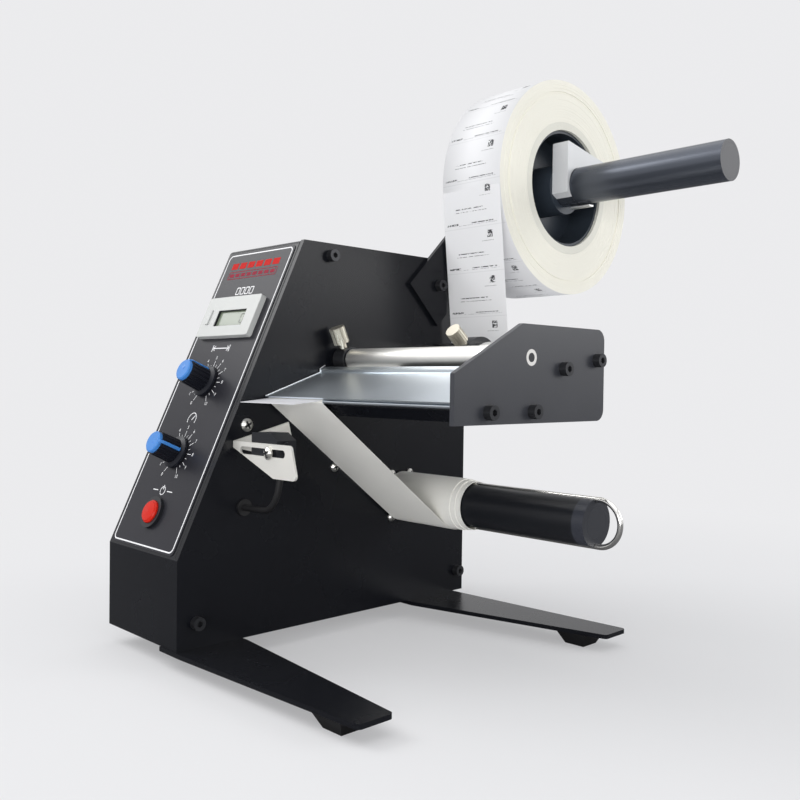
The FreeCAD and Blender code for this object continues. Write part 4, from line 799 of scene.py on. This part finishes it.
def buildRoll():
    """The wound roll, whose cut edges stand a little uneven from turn to turn."""
    inner = (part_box("label_core")[1][2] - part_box("label_core")[0][2]) / 2 + coreGap
    outer = rollRadius
    left, right = rollLow.x, rollHigh.x
    sides = []
    for i in range(rollSteps):
        a = inner + (outer - inner) * i / rollSteps
        b = inner + (outer - inner) * (i + 1) / rollSteps
        inset = random.uniform(0.0, edgeStray) + (deepInset if i in deepSteps else 0.0)
        sides.append((a, b, inset))
    profile, finish = [], []
    for a, b, inset in sides:
        profile += [(right - inset, a), (right - inset, b)]
        finish += [1, 1]
    finish[-1] = 0
    for a, b, inset in reversed(sides):
        profile += [(left + inset, b), (left + inset, a)]
        finish += [1, 1]
    mesh = bmesh.new()
    lathe(mesh, profile, rollAxis, rollSegments, finish)
    addPiece("woundRoll", mesh, ["rollPaper", "rollSide"], "supply_reel",
             ["label_roll"])


buildRoll()


# Screws through the right plate, in millimetres: the gear motor's circle and its recesses'
# reach, the y, z, reach and turn in degrees of the other two, and the heads' face
motorY, motorZ, motorCircle, motorReach = 157.5, 68.4, 15.5, 1.7
bracketScrew = (41.3, 115.4, 2.3, 30)
boardScrew = (103.1, 89.1, 1.7, 10)
headFace = 1.96
# A recess's arm is this share of its reach wide to either side, and this thick in metres
armShare, recessLift = 0.26, 0.00007
# How far a dark mark in metres lies over the metal under it
markGap = 0.00002


def addCross(mesh, middle, across, over, outwards, reach, half, turn):
    """A dark cross centred at middle in the plane of across and over, in millimetres: painted
    shade for a cross recess.
    """
    for extra in (0, 90):
        a = math.radians(turn + extra)
        along = (across * math.cos(a) + over * math.sin(a)) * reach / 1000
        side = (over * math.cos(a) - across * math.sin(a)) * half / 1000
        points = [middle - along - side, middle + along - side,
                  middle + along + side, middle - along + side]
        addSlab(mesh, points, outwards * recessLift)


def buildCrosses():
    """Painted shade: dark crosses on the pan heads on the right plate and on the sensor's screw,
    for the shadow in their cross recesses.
    """
    mesh = bmesh.new()
    spots = [bracketScrew, boardScrew]
    for angle in (60, 120, 240, 300):
        a = math.radians(angle)
        spots.append((motorY + motorCircle * math.cos(a), motorZ + motorCircle * math.sin(a),
                      motorReach, angle + 12))
    for y, z, reach, turn in spots:
        addCross(mesh, at(headFace, y, z), depthAxis, upAxis, acrossAxis, reach,
                 reach * armShare, turn)
    faceOutwards(mesh)
    addPiece("plateCrossShade", mesh, "blackInk", "frame")
    cross = bmesh.new()
    low, high = (Vector(end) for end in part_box("sensor_screw"))
    middle = Vector(((low.x + high.x) / 2, low.y + markGap, (low.z + high.z) / 2))
    addCross(cross, middle, acrossAxis, upAxis, -depthAxis, reach=2.1, half=0.55, turn=20)
    faceOutwards(cross)
    addPiece("sensorCrossShade", cross, "blackInk", "sensor_carriage")


buildCrosses()


def buildSlopeSeam(left=-3.7, right=-3.05, margin=1, out=0.02, thickness=0.00006):
    """The dark joint line between the folded shell and the thick side plate."""
    mesh = bmesh.new()
    top = math.hypot(slopeRun, slopeRise) - margin
    points = [onPanel(x, up, out)
              for x, up in ((left, margin), (right, margin), (right, top), (left, top))]
    addSlab(mesh, points, panelOut * thickness)
    addPiece("slopeSeam", mesh, "seamBlack", "frame")


buildSlopeSeam()


def buildShaftEnd(share=0.56, steps=24, thickness=0.00005):
    """The dark centre in the bright end of the roller's shaft, a share of the shaft's width."""
    low, high = (Vector(end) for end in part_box("roller_shaft"))
    middle = Vector((high.x + markGap, (low.y + high.y) / 2, (low.z + high.z) / 2))
    radius = (high.z - low.z) * 0.5 * share
    points = []
    for i in range(steps):
        angle = 2 * math.pi * i / steps
        points.append(middle + Vector((0, math.cos(angle), math.sin(angle))) * radius)
    mesh = bmesh.new()
    addSlab(mesh, points, acrossAxis * thickness)
    faceOutwards(mesh)
    addPiece("shaftCentre", mesh, "blackOxide", "frame")


def buildHubLatch(inside=0.006, outside=0.009, half=0.0022, drop=0.0022, thickness=0.001):
    """The bright sprung latch under the label tube, which holds the core's hub. It reaches
    inside and outside of the clamp's right face."""
    tubeLow, tubeHigh = (Vector(end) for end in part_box("supply_tube"))
    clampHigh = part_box("core_clamp")[1][0]
    axis = (tubeLow + tubeHigh) / 2
    foot = tubeLow.z - drop
    mesh = bmesh.new()
    points = [Vector((clampHigh + a, axis.y + b, foot)) for a, b in
              ((-inside, -half), (outside, -half), (outside, half), (-inside, half))]
    addSlab(mesh, points, upAxis * thickness)
    addPiece("hubLatch", mesh, "brightEdge", "supply_reel")


def buildCoverEdge(width=0.7, thickness=0.0003):
    """Painted highlight: a strip of brighter metal along the cover plate's left end, up to and
    over its rear lip, for the light that edge catches.
    """
    left = (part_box("cover_plate")[0][0] - corner.x) * 1000
    mesh = bmesh.new()
    path = [(52.9, 131.1), (91.0, 144.6), (91.0, 146.6), (94.6, 148.6)]
    for (y0, z0), (y1, z1) in zip(path, path[1:]):
        run = math.hypot(y1 - y0, z1 - z0)
        lift = Vector((0, -(z1 - z0), y1 - y0)) / run * thickness
        points = [at(x, y, z) for x, y, z in ((left, y0, z0), (left + width, y0, z0),
                                              (left + width, y1, z1), (left, y1, z1))]
        addSlab(mesh, points, lift)
    faceOutwards(mesh)
    addPiece("coverHighlightStrip", mesh, "brightEdge", "frame")


buildShaftEnd()
buildHubLatch()
buildCoverEdge()
print("roll and screws")

# ---------------------------------------------------------------- stage

backgroundColor = (0.835, 0.835, 0.850, 1)
# The lit floor's share under the object, and the radii in metres over which it fades away
floorSize = 6.0
litShare, fadeStart, fadeEnd = 0.60, 0.16, 0.62
worldStrength = 0.40


def buildStage():
    """A pale floor that keeps the object's shadow and melts into the background."""
    floor = bmesh.new()
    bmesh.ops.create_grid(floor, x_segments=1, y_segments=1, size=floorSize)
    data = bpy.data.meshes.new("floor")
    floor.to_mesh(data)
    floor.free()
    made = bpy.data.materials.new("paleFloor")
    made.use_nodes = True
    tree = made.node_tree
    shader = tree.nodes["Principled BSDF"]
    shader.inputs["Roughness"].default_value = 0.7
    # lit surfaces see a pale floor, and mirror-like ones a darker one
    path = tree.nodes.new("ShaderNodeLightPath")
    tone = mixedColor(tree, path.outputs["Is Glossy Ray"], (0.86, 0.86, 0.88, 1),
                      (0.14, 0.14, 0.145, 1))
    tree.links.new(tone, shader.inputs["Base Color"])
    # the camera sees lit floor under the object, which fades into the background around it
    lit = tree.nodes.new("ShaderNodeBsdfDiffuse")
    lit.inputs["Color"].default_value = (0.80, 0.80, 0.81, 1)
    plain = tree.nodes.new("ShaderNodeEmission")
    plain.inputs["Color"].default_value = backgroundColor
    reach = tree.nodes.new("ShaderNodeVectorMath")
    reach.operation = "LENGTH"
    tree.links.new(objectPlace(tree), reach.inputs[0])
    fade = mapRange(tree, reach.outputs["Value"], (fadeStart, fadeEnd), (litShare, 0.0))
    fade.interpolation_type = "SMOOTHSTEP"
    ground = mixedShader(tree, fade.outputs[0], plain.outputs[0], lit.outputs[0])
    surface = mixedShader(tree, path.outputs["Is Camera Ray"], shader.outputs[0], ground)
    tree.links.new(surface, tree.nodes["Material Output"].inputs[0])
    data.materials.append(made)
    plane = bpy.data.objects.new("floor", data)
    bpy.context.scene.collection.objects.link(plane)


def buildWorld():
    """The background's own colour to the camera and in reflections, and a softer light."""
    world = bpy.data.worlds.new("studio")
    bpy.context.scene.world = world
    world.use_nodes = True
    tree = world.node_tree
    tree.nodes.clear()
    output = tree.nodes.new("ShaderNodeOutputWorld")
    shaders = []
    for color, strength in (((0.95, 0.97, 1.0, 1), worldStrength), (backgroundColor, 1.0)):
        sky = tree.nodes.new("ShaderNodeBackground")
        sky.inputs["Color"].default_value = color
        sky.inputs["Strength"].default_value = strength
        shaders.append(sky.outputs[0])
    path = tree.nodes.new("ShaderNodeLightPath")
    seen = path.outputs["Is Camera Ray"]
    for label in ("Is Transmission Ray", "Is Glossy Ray"):
        seen = mathNode(tree, "MAXIMUM", seen, path.outputs[label])
    tree.links.new(mixedShader(tree, seen, *shaders), output.inputs[0])


def addLamp(name, place, target, size, power):
    """A soft box that shines from its place towards its target, with its power in watts."""
    lamp = bpy.data.lights.new(name, "AREA")
    lamp.shape = "RECTANGLE"
    lamp.size, lamp.size_y = size
    lamp.energy = power
    holder = bpy.data.objects.new(name, lamp)
    holder.location = place
    holder.rotation_euler = (Vector(target) - Vector(place)).to_track_quat("-Z", "Y").to_euler()
    bpy.context.scene.collection.objects.link(holder)


buildStage()
buildWorld()
addLamp("topBox", (-0.1, -0.35, 1.35), (-0.05, 0, 0.15), (2.4, 2.2), 13)
addLamp("leftBox", (-1.2, -0.75, 1.25), (0, 0, 0.17), (1.0, 0.8), 9)
addLamp("frontBox", (0.75, -1.15, 0.24), (0.02, 0, 0.08), (0.9, 0.4), 7.5)
addLamp("rearRightBox", (1.12, 1.10, 0.70), (0, 0, 0.18), (0.9, 0.7), 7)

# ---------------------------------------------------------------- camera

# Solved from the photograph's straight edges: the picture's side, the focal length and the
# picture's centre in pixels, the camera's place in the housing's frame and its turns
pictureSide, focalPixels = 800, 890.72
centreAcross, centreDown = 400.64, 398.73
cameraPlace = (402.91, -232.96, 139.98)
azimuth, elevation, roll = (math.radians(angle) for angle in (45.95, 1.12, 0.73))


def addCamera():
    back = Vector((math.sin(azimuth) * math.cos(elevation),
                   -math.cos(azimuth) * math.cos(elevation), math.sin(elevation)))
    right = (-back).cross(upAxis).normalized()
    up = right.cross(-back)
    rolledRight = math.cos(roll) * right + math.sin(roll) * up
    rolledUp = -math.sin(roll) * right + math.cos(roll) * up
    lens = bpy.data.cameras.new("camera")
    lens.sensor_width = 36.0
    lens.lens = focalPixels / pictureSide * lens.sensor_width
    lens.shift_x = (pictureSide / 2 - centreAcross) / pictureSide
    lens.shift_y = (centreDown - pictureSide / 2) / pictureSide
    camera = bpy.data.objects.new("camera", lens)
    turn = Matrix((rolledRight, rolledUp, back)).transposed()
    camera.matrix_world = Matrix.Translation(at(*cameraPlace)) @ turn.to_4x4()
    bpy.context.scene.collection.objects.link(camera)
    bpy.context.scene.camera = camera


addCamera()
bpy.context.scene.view_settings.view_transform = "Standard"
